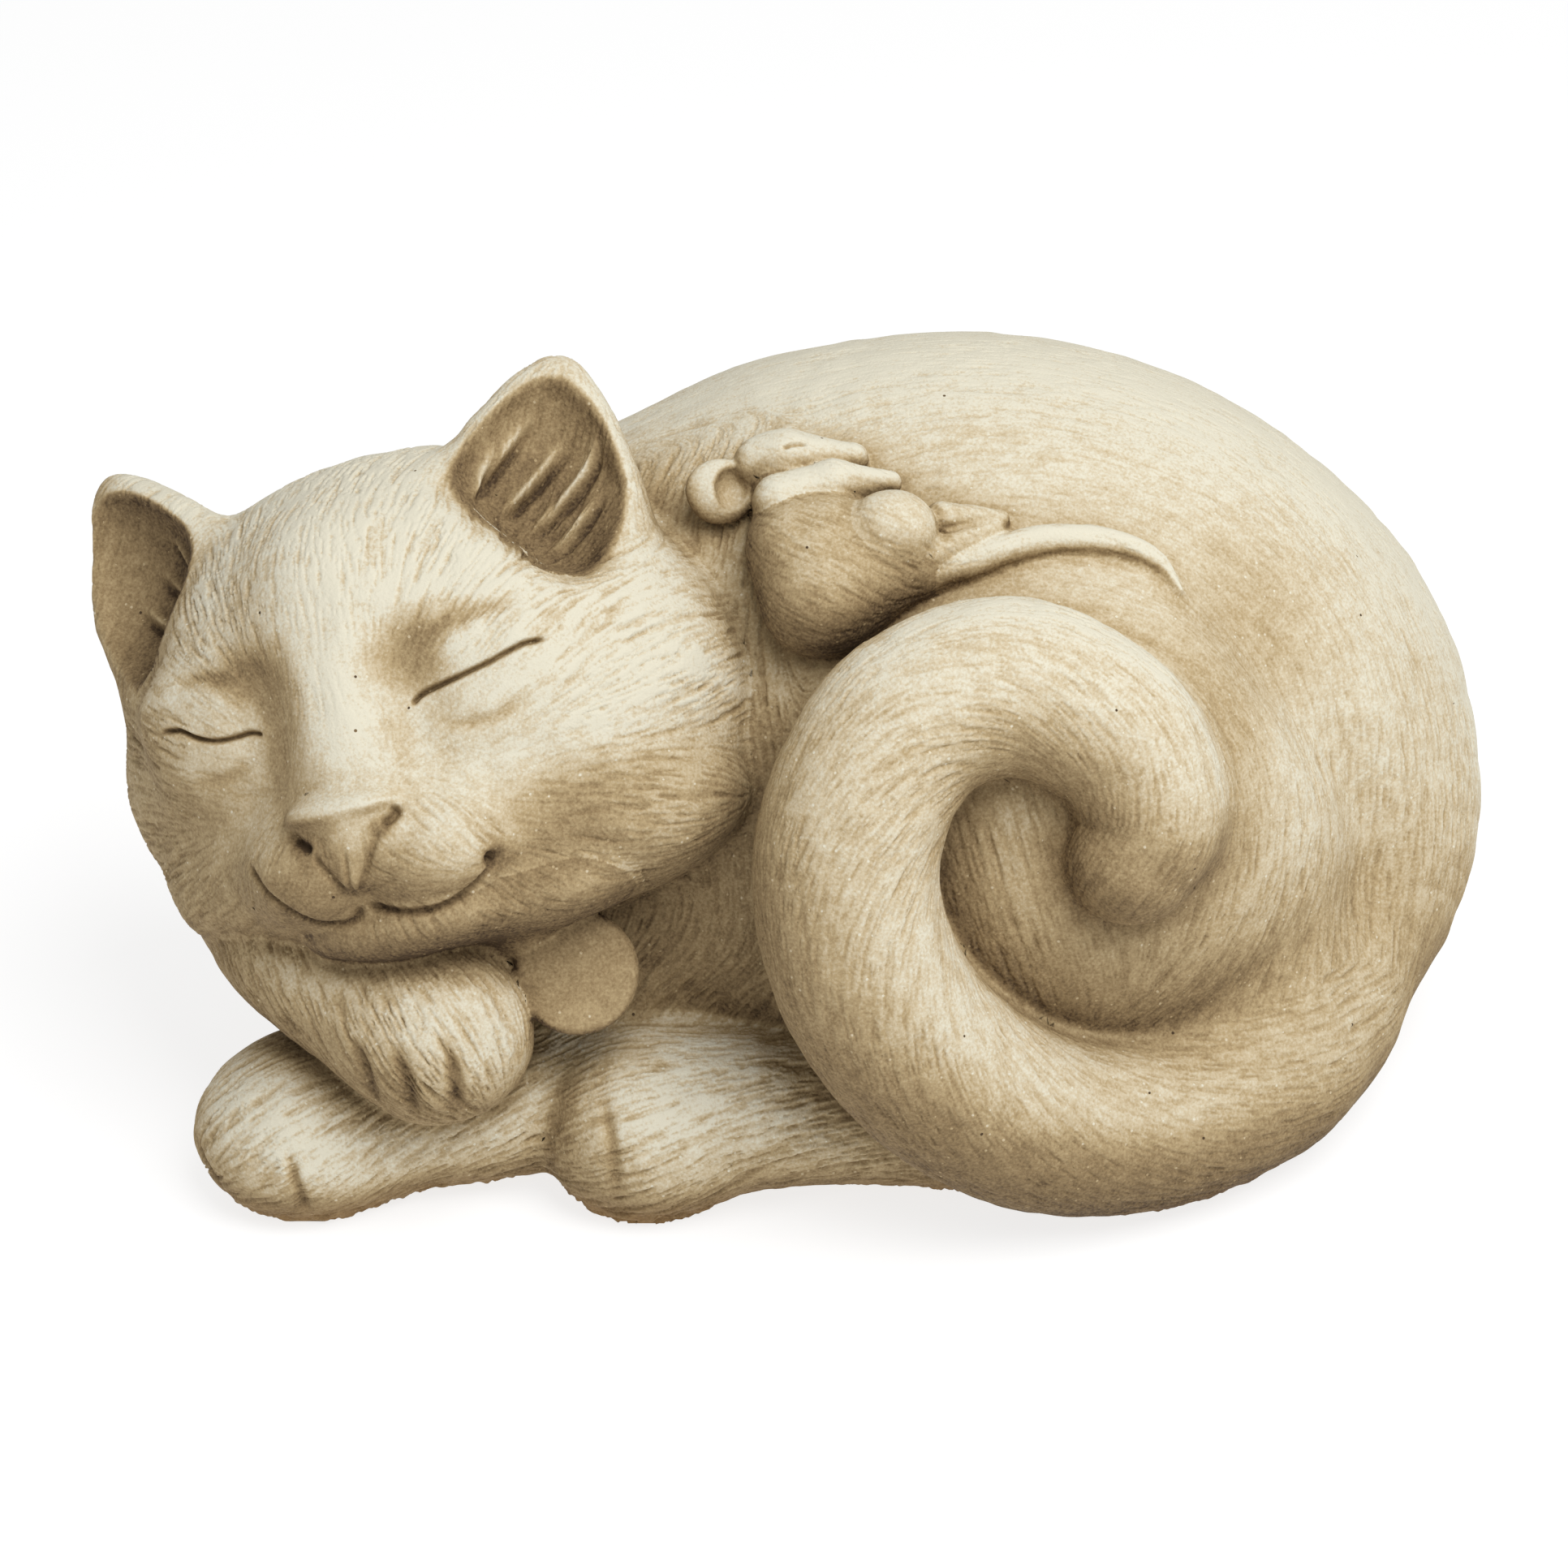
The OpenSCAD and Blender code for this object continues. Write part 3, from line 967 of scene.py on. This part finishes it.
def tail_flow(p, n):
    """Along the tail, and slanting in toward the middle of the curl."""
    inward = np.float32(CURL_CENTRE) - p
    inward /= np.maximum(length(inward), 1e-3)[:, None]
    return along(p, TAIL) + 0.55 * inward


def mouse_flow(p, n):
    return np.tile(np.float32([1, -0.4, -0.3]), (len(p), 1))


FLOWS = {
    "head": face_flow,
    "muzzle": face_flow,
    "nose": face_flow,
    "chin": face_flow,
    "ear_left": ear_flow,
    "ear_right": ear_flow,
    "forepaw_lower": lambda p, n: along(p, LOWER, -1) + np.float32([0, -0.1, -0.5]),
    "forepaw_upper": lambda p, n: along(p, UPPER) + np.float32([0.1, -0.2, -1.3]),
    "hind_paw": lambda p, n: along(p, HIND, -1) + np.float32([0, 0, -0.25]),
    "tail": tail_flow,
    "mouse_body": mouse_flow,
    "mouse_head": mouse_flow,
    "mouse_ear": mouse_flow,
    "mouse_arm": mouse_flow,
    "mouse_leg": mouse_flow,
    "mouse_tail": lambda p, n: along(p, MOUSE_TAIL),
}


def flow(p, n, member):
    """The lie of the coat at points of the surface."""
    out = body_flow(p, n)
    for name, way in FLOWS.items():
        rows = np.flatnonzero(member == NUMBER[name])
        if len(rows):
            out[rows] = way(p[rows], n[rows])
    return out


class Coat:
    """The lie of the coat on a grid near the surface."""

    def __init__(self, skin):
        self.low = skin.min(0) - 3 * FLOW_STEP
        self.size = np.ceil((skin.max(0) - self.low) / FLOW_STEP).astype(int) + 4
        near = np.zeros(tuple(self.size), bool)
        near[tuple(((skin - self.low) / FLOW_STEP).astype(int).T)] = True
        for axis in range(3):
            for _ in range(2):
                near |= np.roll(near, 1, axis) | np.roll(near, -1, axis)
        cells = np.stack(np.nonzero(near), 1)
        p = (self.low + FLOW_STEP * (cells + 0.5)).astype(np.float32)
        _, member = field(p, True)
        n = slope(p)
        way = flow(p, n, member)
        way = way - n * np.einsum("ij,ij->i", way, n)[:, None]
        way /= np.maximum(length(way), 1e-3)[:, None]
        self.ways = np.zeros((near.size, 3), np.float32)
        self.ways[np.flatnonzero(near.ravel())] = way

    def at(self, p):
        index = ((p - self.low) / np.float32(FLOW_STEP)).astype(np.int32)
        np.clip(index, 0, self.size - 1, out=index)
        flat = (index[:, 0] * self.size[1] + index[:, 1]) * self.size[2] + index[:, 2]
        return self.ways[flat]


# Cells after which the noise repeats: a power of two
TILE = 128


class Noise:
    """Smooth random values in space, from -1 to 1, that repeat every TILE cells."""

    def __init__(self, cell, seed):
        self.cell = cell
        self.values = np.random.default_rng(seed).uniform(-1, 1, TILE**3).astype(np.float32)

    def at(self, p):
        q = p / np.float32(self.cell)
        base = np.floor(q).astype(np.int32)
        t = q - base
        t = t * t * (3 - 2 * t)
        lo, hi = base & (TILE - 1), (base + 1) & (TILE - 1)
        out = np.zeros(len(p), np.float32)
        for i in (0, 1):
            x = (hi if i else lo)[:, 0] * TILE
            wx = t[:, 0] if i else 1 - t[:, 0]
            for j in (0, 1):
                y = (x + (hi if j else lo)[:, 1]) * TILE
                wy = wx * (t[:, 1] if j else 1 - t[:, 1])
                for k in (0, 1):
                    z = y + (hi if k else lo)[:, 2]
                    out += self.values[z] * wy * (t[:, 2] if k else 1 - t[:, 2])
        return out


def strokes(p, coat, noise, reach, step):
    """Noise averaged along the lie of the coat, scaled to a spread of one."""
    total = noise.at(p)
    count = 1
    for sense in (-1, 1):
        q = p.copy()
        for _ in range(int(reach / step)):
            q += coat.at(q) * np.float32(sense * step)
            total += noise.at(q)
            count += 1
    total /= count
    return (total - total.mean()) / total.std()


# Depth of the strokes on each member, and the share of it that is in the coarse ones
FUR = {
    "body": (0.45, 0.6),
    "head": (0.18, 0.35),
    "muzzle": (0.35, 0.6),
    "nose": (0.08, 0.3),
    "chin": (0.4, 0.6),
    "ear_left": (0.4, 0.5),
    "ear_right": (0.4, 0.5),
    "forepaw_lower": (0.65, 0.6),
    "forepaw_upper": (0.75, 0.6),
    "hind_paw": (0.65, 0.6),
    "tail": (0.4, 0.5),
    "medallion": (0.05, 0.0),
    "mouse_body": (0.35, 0.3),
    "mouse_head": (0.22, 0.2),
    "mouse_ear": (0.12, 0.2),
    "mouse_arm": (0.22, 0.2),
    "mouse_leg": (0.25, 0.2),
    "mouse_tail": (0.25, 0.2),
}


def fur_of(p, n, member):
    """Depth of the strokes at each point and the share in the coarse ones."""
    table = np.float32([(0, 0)] + [FUR[name] for name in NAMES])
    depth, share = table[member].T.copy()
    q = in_head(p)
    rim = ramp(length(q[:, :2] * np.float32([1, 1.2]) - np.float32([0, -14])), 26, 58)
    on = member == NUMBER["head"]
    depth[on] += 0.5 * rim[on]
    share[on] += 0.3 * rim[on]
    on = member == NUMBER["body"]
    front = ramp(-n[:, 1], 0, 0.4) * ramp(-p[:, 0], -14, 4)
    depth[on] += (0.55 * front - 0.2 * ramp(n[:, 2], 0.2, 0.7))[on]
    return depth, share


# Where the face is painted darker, on the head's own frame: centre, radii and strength. This is
# stain on the cheeks and muzzle, and painted shade in the sockets over the eyes, in the nostrils,
# in the deep corner of the mouth and under the chin.
FACE_STAIN_AND_SHADE = [
    ((15, 10, 38), (9, 9, 12), 0.3),
    ((22, 16, 36), (10, 6, 12), 0.18),
    ((-14, 12, 37), (9, 8, 12), 0.22),
    ((-19, 15, 36), (9, 6, 12), 0.16),
    ((-13, 0, 40), (5, 13, 10), 0.15),
    ((12, -2, 42), (4, 9, 8), 0.12),
    ((-26, -22, 34), (9, 9, 14), 0.05),
    ((-40, -27, 20), (26, 17, 26), 0.04),
    ((-26, -34, 26), (15, 8, 16), 0.06),
    ((38, -25, 22), (34, 15, 30), 0.34),
    ((28, -34, 34), (16, 8, 18), 0.1),
    # Painted shade in the deep corner of the mouth.
    ((25, -29, 40), (4, 4, 8), 0.25),
    ((0, -26, 44), (27, 12, 16), 0.2),
    ((-10, -26, 44), (13, 11, 14), 0.16),
    # Painted shade under the mouth and chin, with stain.
    ((4, -40, 34), (26, 9, 18), 0.12),
    # Painted shade in the nostrils.
    ((7, -18.5, 50), (3, 2.5, 6), 0.3),
    ((-9, -19, 48), (3.5, 3, 6), 0.3),
]
# Surfaces that face away from this side are painted darker: painted shade from the light above and
# to the right.
LIGHT_SIDE = np.array([0.42, -0.2, 0.88])


# How much darker each member is painted over the whole of it: stain, and painted shade on the chin
# and the mouse's body, which face down.
MEMBER_STAIN_AND_SHADE = {
    "forepaw_lower": -0.03,
    "forepaw_upper": 0.05,
    "hind_paw": 0.02,
    "chin": 0.18,
    "head": -0.04,
    "medallion": 0.35,
    "mouse_body": 0.24,
    "mouse_leg": 0.12,
}
# Patches where the trunk and the tail are painted darker, or lighter where the strength is
# negative: centre in millimetres, radii and strength. This is stain, and painted shade on the neck
# under the head.
BODY_STAIN_AND_SHADE = [
    (TAIL[-1], (22, 26, 20), 0.27),
    (beside("tail", (24, -10, -34)), (50, 40, 30), 0.06),
    (beside("body", (84, -30, -30)), (34, 50, 34), 0.08),
    (beside("body", (60, -38, 34)), (26, 40, 20), 0.12),
    # Painted shade on the neck under the head.
    (NECK + np.array([14, -30, 2]), (30, 40, 34), 0.18),
    (NECK + np.array([10, -44, -40]), (40, 40, 32), -0.25),
]


def stain_and_shade_of(p, n, member, hollow, groove, marked):
    """How dark the surface is painted, from 0 to 1: stain, and painted shade in hollows, under
    things and on the side away from the light.
    """
    # Painted shade: surfaces turned away from the light are darker.
    away = 1 - ramp(n @ np.float32(LIGHT_SIDE), -0.4, 0.8)
    # Hollows and fur grooves are darker: partly the stain that lies in them, partly painted shade.
    stain_and_shade = 0.09 + 0.48 * hollow + 0.38 * away + 0.36 * groove
    stain_and_shade += np.float32([0] + [MEMBER_STAIN_AND_SHADE.get(name, 0) for name in NAMES])[member]
    trunk = (member == NUMBER["body"]) | (member == NUMBER["tail"])
    # On the trunk and tail, surfaces facing forward are a little darker, and low ones facing down
    # and forward much darker: painted shade under the body, with stain.
    under = 1 - ramp(p[:, 2], 8, 75)
    stain_and_shade += (0.1 * ramp(-n[:, 1], 0, 0.5) + 0.3 * under * ramp(-n[:, 1] - n[:, 2], 0, 1)) * trunk
    # Painted shade: downward-facing surfaces under the head and chin are darker.
    above = ramp(p[:, 2], 20, 60) * (1 - ramp(p[:, 0], -20, 10))
    stain_and_shade += 0.2 * ramp(-n[:, 2], 0.1, 0.8) * above
    q = in_face(p)
    for places, patches in ((q, FACE_STAIN_AND_SHADE), (p, BODY_STAIN_AND_SHADE)):
        for centre, radii, strength in patches:
            reach = length((places - np.float32(centre)) / np.float32(radii))
            stain_and_shade += strength * (1 - ramp(reach, 0.2, 1.1))
    # Ear hollows are darker: stain and painted shade.
    for side, strength in ((-1, 0.66), (1, 0.56)):
        v = in_ear(p, side)
        inside = 1 - ramp(ear_hollow(v, side), -1.2, 1.4)
        stain_and_shade += strength * inside * (v[:, 1] > 0) * (n @ np.float32(FACE_OUT) > -0.2)
    # Sunk fine lines such as eye slits, mouth and toe gaps are darker, stain and painted shade in
    # them; raised tufts lighter.
    stain_and_shade += 0.5 * np.clip(marked / 1.5, -1.2, 1)
    # Painted shade: surfaces near the ground that face down are darker.
    stain_and_shade += 0.35 * (1 - ramp(p[:, 2], 2, 14)) * ramp(-n[:, 2], -0.5, 0.3)
    stain_and_shade = 1.33 * stain_and_shade - 0.06
    return np.clip(stain_and_shade / (1 + 0.6 * np.maximum(stain_and_shade - 0.6, 0)), 0, 1)


# ---- Build ----


# Strokes of the fur: cell of their noise, how far it is drawn out along the coat, and the steps
COARSE_STROKES = (0.7, 4.2, 0.6)
FINE_STROKES = (0.42, 2.4, 0.4)
# Cells of the slow noises: how strong the fur is, the lumps of the casting, its edge on the ground
PATCH_CELL, LUMP_CELL, EDGE_CELL = 9, 4.5, 1.6
LUMP_DEPTH = 0.22
# How far out from the surface its hollows are felt for, and the weight of each
HOLLOW_REACHES = ((1.5, 0.2), (4, 0.3), (9, 0.3), (18, 0.2), (32, 0.13))
MOST_DIVISIONS = 6


def smooth_net():
    """The net over the joined members, before anything is cut into it."""
    points, quads, sides = net_of(*sample_grid())
    triangles, sides = triangles_of(points, quads, sides)
    skin = np.unique(triangles[sides[:, 1] == 0])
    points[skin] = settle(points[skin], 2)
    for _ in range(MOST_DIVISIONS):
        points, triangles, sides, more = divide(points, triangles, sides)
        if not more:
            break
    return points, triangles, sides


def stroke_noise(p, coat, strokes_kind, seed):
    cell, reach, step = strokes_kind
    return strokes(p, coat, Noise(cell, seed), reach, step)


def carving(p, n):
    """How deep each point of the skin is sunk, and how dark it is painted: stain and painted shade.
    """
    coat = Coat(p)
    _, member = field(p, True)
    coarse = stroke_noise(p, coat, COARSE_STROKES, SEED)
    fine = stroke_noise(p, coat, FINE_STROKES, SEED + 1)
    depth, share = fur_of(p, n, member)
    patch = 0.75 + 0.5 * Noise(PATCH_CELL, SEED + 2).at(p)
    groove = 0.9 * ramp(-coarse, 0.2, 1.6) * share + ramp(-fine, 0, 1.4) * (1 - 0.7 * share)
    lumps = LUMP_DEPTH * Noise(LUMP_CELL, SEED + 3).at(p) * (depth > 0.1)
    sink = groove * depth * patch + lumps
    low_edge = 1 - ramp(p[:, 2], 0.5, 7)
    sink += low_edge * (0.5 + 0.9 * Noise(EDGE_CELL, SEED + 4).at(p))
    marked = np.zeros(len(p), np.float32)
    for mark in MARKS:
        deep = mark.sink(p)
        sink += deep
        if mark.fine:
            marked += deep
    sink[p[:, 2] < FLAT_HEIGHT] = 0
    # How closed in each point is, near and far. The darkening it gives is partly stain and partly
    # painted shade.
    hollow = np.zeros(len(p), np.float32)
    for reach, weight in HOLLOW_REACHES:
        hollow += weight * np.clip(1 - field(p + n * np.float32(reach)) / reach, 0, 1.5)
    return sink, stain_and_shade_of(p, n, member, hollow, groove * np.minimum(depth, 0.6), marked)


def make_piece(name, points, normals, stain_and_shade, faces):
    """One member as a closed mesh."""
    used, local = np.unique(faces, return_inverse=True)
    mesh = bpy.data.meshes.new(name)
    mesh.vertices.add(len(used))
    mesh.vertices.foreach_set("co", (points[used] * MM).astype(np.float32).ravel())
    mesh.loops.add(len(faces) * 3)
    mesh.loops.foreach_set("vertex_index", local.reshape(-1).astype(np.int32))
    mesh.polygons.add(len(faces))
    mesh.polygons.foreach_set("loop_start", np.arange(0, len(faces) * 3, 3, dtype=np.int32))
    mesh.update(calc_edges=True)
    mesh.validate()
    mesh.shade_smooth()
    mesh.normals_split_custom_set_from_vertices(normals[used])
    # This attribute holds how dark the stone is painted: stain and painted shade.
    attribute = mesh.attributes.new("stain_and_shade", "FLOAT", "POINT")
    attribute.data.foreach_set("value", stain_and_shade[used])
    piece = bpy.data.objects.new("cast_" + name, mesh)
    bpy.context.scene.collection.objects.link(piece)
    return piece


def build():
    points, triangles, sides = smooth_net()
    outer = sides[:, 1] == 0
    skin = np.unique(triangles[outer])
    normals = normals_of(points, triangles[outer])
    p, n = points[skin], normals[skin]
    # How dark each point is painted: stain and painted shade.
    stain_and_shade = np.zeros(len(points), np.float32)
    sink, stain_and_shade[skin] = carving(p, n)
    points[skin] = p - n * sink[:, None]
    inner = np.setdiff1d(np.arange(len(points)), skin)
    points[inner] = bury(points[inner])
    points[:, 2] = np.maximum(points[:, 2], 0)
    normals = normals_of(points, triangles[outer])
    materials = {slot: stone(slot) for slot in ("cast_stone", "cast_stone_tag")}
    for name in NAMES:
        behind = triangles[sides[:, 0] == NUMBER[name]]
        front = triangles[sides[:, 1] == NUMBER[name]][:, ::-1]
        faces = np.concatenate([behind, front])
        piece = make_piece(name, points, normals, stain_and_shade, faces)
        slot = "cast_stone_tag" if name == "medallion" else "cast_stone"
        piece.data.materials.append(materials[slot])
        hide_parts(name)
        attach(piece, "root")


def stone(name):
    material = bpy.data.materials.new(name)
    material.use_nodes = True
    tree = material.node_tree
    tree.nodes.clear()
    out = tree.nodes.new("ShaderNodeOutputMaterial")
    shader = tree.nodes.new("ShaderNodeBsdfPrincipled")
    tree.links.new(shader.outputs[0], out.inputs[0])
    shader.inputs["Roughness"].default_value = 0.85
    shader.inputs["Specular IOR Level"].default_value = 0.3
    # The attribute holds how dark each point is painted: stain and painted shade.
    stain_and_shade = tree.nodes.new("ShaderNodeAttribute")
    stain_and_shade.attribute_name = "stain_and_shade"
    place = tree.nodes.new("ShaderNodeTexCoord")

    def noise(scale, detail, rough):
        node = tree.nodes.new("ShaderNodeTexNoise")
        node.inputs["Scale"].default_value = scale
        node.inputs["Detail"].default_value = detail
        node.inputs["Roughness"].default_value = rough
        tree.links.new(place.outputs["Object"], node.inputs["Vector"])
        return node.outputs["Fac"]

    def sum_of(a, b, weight):
        node = tree.nodes.new("ShaderNodeMath")
        node.operation = "MULTIPLY_ADD"
        tree.links.new(b, node.inputs[0])
        node.inputs[1].default_value = weight
        tree.links.new(a, node.inputs[2])
        return node.outputs[0]

    def spots(scale, size):
        """One inside small round spots scattered through the stone, else zero."""
        node = tree.nodes.new("ShaderNodeTexVoronoi")
        node.inputs["Scale"].default_value = scale
        tree.links.new(place.outputs["Object"], node.inputs["Vector"])
        test = tree.nodes.new("ShaderNodeMath")
        test.operation = "LESS_THAN"
        tree.links.new(node.outputs["Distance"], test.inputs[0])
        test.inputs[1].default_value = size
        return test.outputs[0]

    blotch = noise(45, 5, 0.65)
    mottle = noise(380, 3, 0.6)
    grain = noise(1700, 2, 0.6)
    total = sum_of(sum_of(sum_of(stain_and_shade.outputs["Fac"], blotch, 0.2), mottle, 0.3), grain, 0.5)
    # Dark spots: pinholes of the casting, drawn only in colour, their darkness stain and painted
    # shade.
    total = sum_of(total, spots(90, 0.028), 0.8)
    # Pale specks: pale sand grains with painted glint.
    total = sum_of(total, spots(330, 0.09), -0.25)
    shift = tree.nodes.new("ShaderNodeMath")
    shift.operation = "SUBTRACT"
    shift.inputs[1].default_value = 0.5
    tree.links.new(total, shift.inputs[0])
    total = shift.outputs[0]
    ramp_node = tree.nodes.new("ShaderNodeValToRGB")
    stops = ramp_node.color_ramp
    for i, (at, colour) in enumerate(
        (
            (0.12, (0.70, 0.66, 0.53)),
            (0.3, (0.59, 0.495, 0.335)),
            (0.5, (0.44, 0.33, 0.178)),
            (0.7, (0.29, 0.203, 0.1)),
            (0.88, (0.17, 0.112, 0.053)),
            (1.0, (0.07, 0.042, 0.02)),
        )
    ):
        stop = stops.elements[i] if i < 2 else stops.elements.new(at)
        stop.position = at
        stop.color = colour + (1,)
    tree.links.new(total, ramp_node.inputs["Fac"])
    # Patchy darker brown along the bottom, up to 9 mm above the ground
    height = tree.nodes.new("ShaderNodeSeparateXYZ")
    tree.links.new(place.outputs["Object"], height.inputs[0])
    low = tree.nodes.new("ShaderNodeMapRange")
    low.inputs["From Min"].default_value = 0.009
    low.inputs["From Max"].default_value = 0.0
    low.inputs["To Min"].default_value = 0.0
    low.inputs["To Max"].default_value = 1.1
    tree.links.new(height.outputs["Z"], low.inputs["Value"])
    patchy = tree.nodes.new("ShaderNodeMath")
    patchy.operation = "MULTIPLY"
    tree.links.new(low.outputs["Result"], patchy.inputs[0])
    tree.links.new(noise(160, 3, 0.6), patchy.inputs[1])
    low_brown = tree.nodes.new("ShaderNodeMix")
    low_brown.data_type = "RGBA"
    tree.links.new(patchy.outputs[0], low_brown.inputs[0])
    tree.links.new(ramp_node.outputs["Color"], low_brown.inputs[6])
    low_brown.inputs[7].default_value = (0.3, 0.17, 0.06, 1)
    tree.links.new(low_brown.outputs[2], shader.inputs["Base Color"])
    bump = tree.nodes.new("ShaderNodeBump")
    bump.inputs["Strength"].default_value = 0.35
    bump.inputs["Distance"].default_value = 0.0005
    tree.links.new(grain, bump.inputs["Height"])
    tree.links.new(bump.outputs["Normal"], shader.inputs["Normal"])
    return material


def floor():
    mesh = bpy.data.meshes.new("floor")
    half = 4.0
    mesh.from_pydata(
        [(-half, -half, 0), (half, -half, 0), (half, half, 0), (-half, half, 0)], [], [(0, 1, 2, 3)]
    )
    plane = bpy.data.objects.new("floor", mesh)
    bpy.context.scene.collection.objects.link(plane)
    material = bpy.data.materials.new("white_floor")
    material.use_nodes = True
    shader = material.node_tree.nodes["Principled BSDF"]
    shader.inputs["Base Color"].default_value = (0.3, 0.3, 0.3, 1)
    shader.inputs["Emission Color"].default_value = (1, 1, 1, 1)
    shader.inputs["Emission Strength"].default_value = 0.78
    shader.inputs["Roughness"].default_value = 0.9
    mesh.materials.append(material)


def lights():
    world = bpy.data.worlds.new("studio")
    world.use_nodes = True
    world.node_tree.nodes["Background"].inputs["Color"].default_value = (1, 1, 1, 1)
    world.node_tree.nodes["Background"].inputs["Strength"].default_value = 0.4
    bpy.context.scene.world = world
    light = bpy.data.lights.new("key", "AREA")
    light.energy = 9
    light.size = 0.7
    lamp = bpy.data.objects.new("key", light)
    lamp.location = (0.3, -0.45, 0.95)
    lamp.rotation_mode = "QUATERNION"
    lamp.rotation_quaternion = Vector((0.3, -0.45, 0.9)).to_track_quat("Z", "Y")
    bpy.context.scene.collection.objects.link(lamp)
    bpy.context.scene.view_settings.view_transform = "Standard"


def camera():
    data = bpy.data.cameras.new("camera")
    data.sensor_width = 36
    data.lens = 108.5
    eye = bpy.data.objects.new("camera", data)
    distance, elevation = 0.95, math.radians(30)
    target = Vector((0, 0, 0.053))
    back = Vector((0, -math.cos(elevation), math.sin(elevation)))
    eye.location = target + back * distance
    eye.rotation_mode = "QUATERNION"
    eye.rotation_quaternion = back.to_track_quat("Z", "Y")
    bpy.context.scene.collection.objects.link(eye)
    bpy.context.scene.camera = eye


build()
floor()
lights()
camera()

bpy.context.view_layer.update()
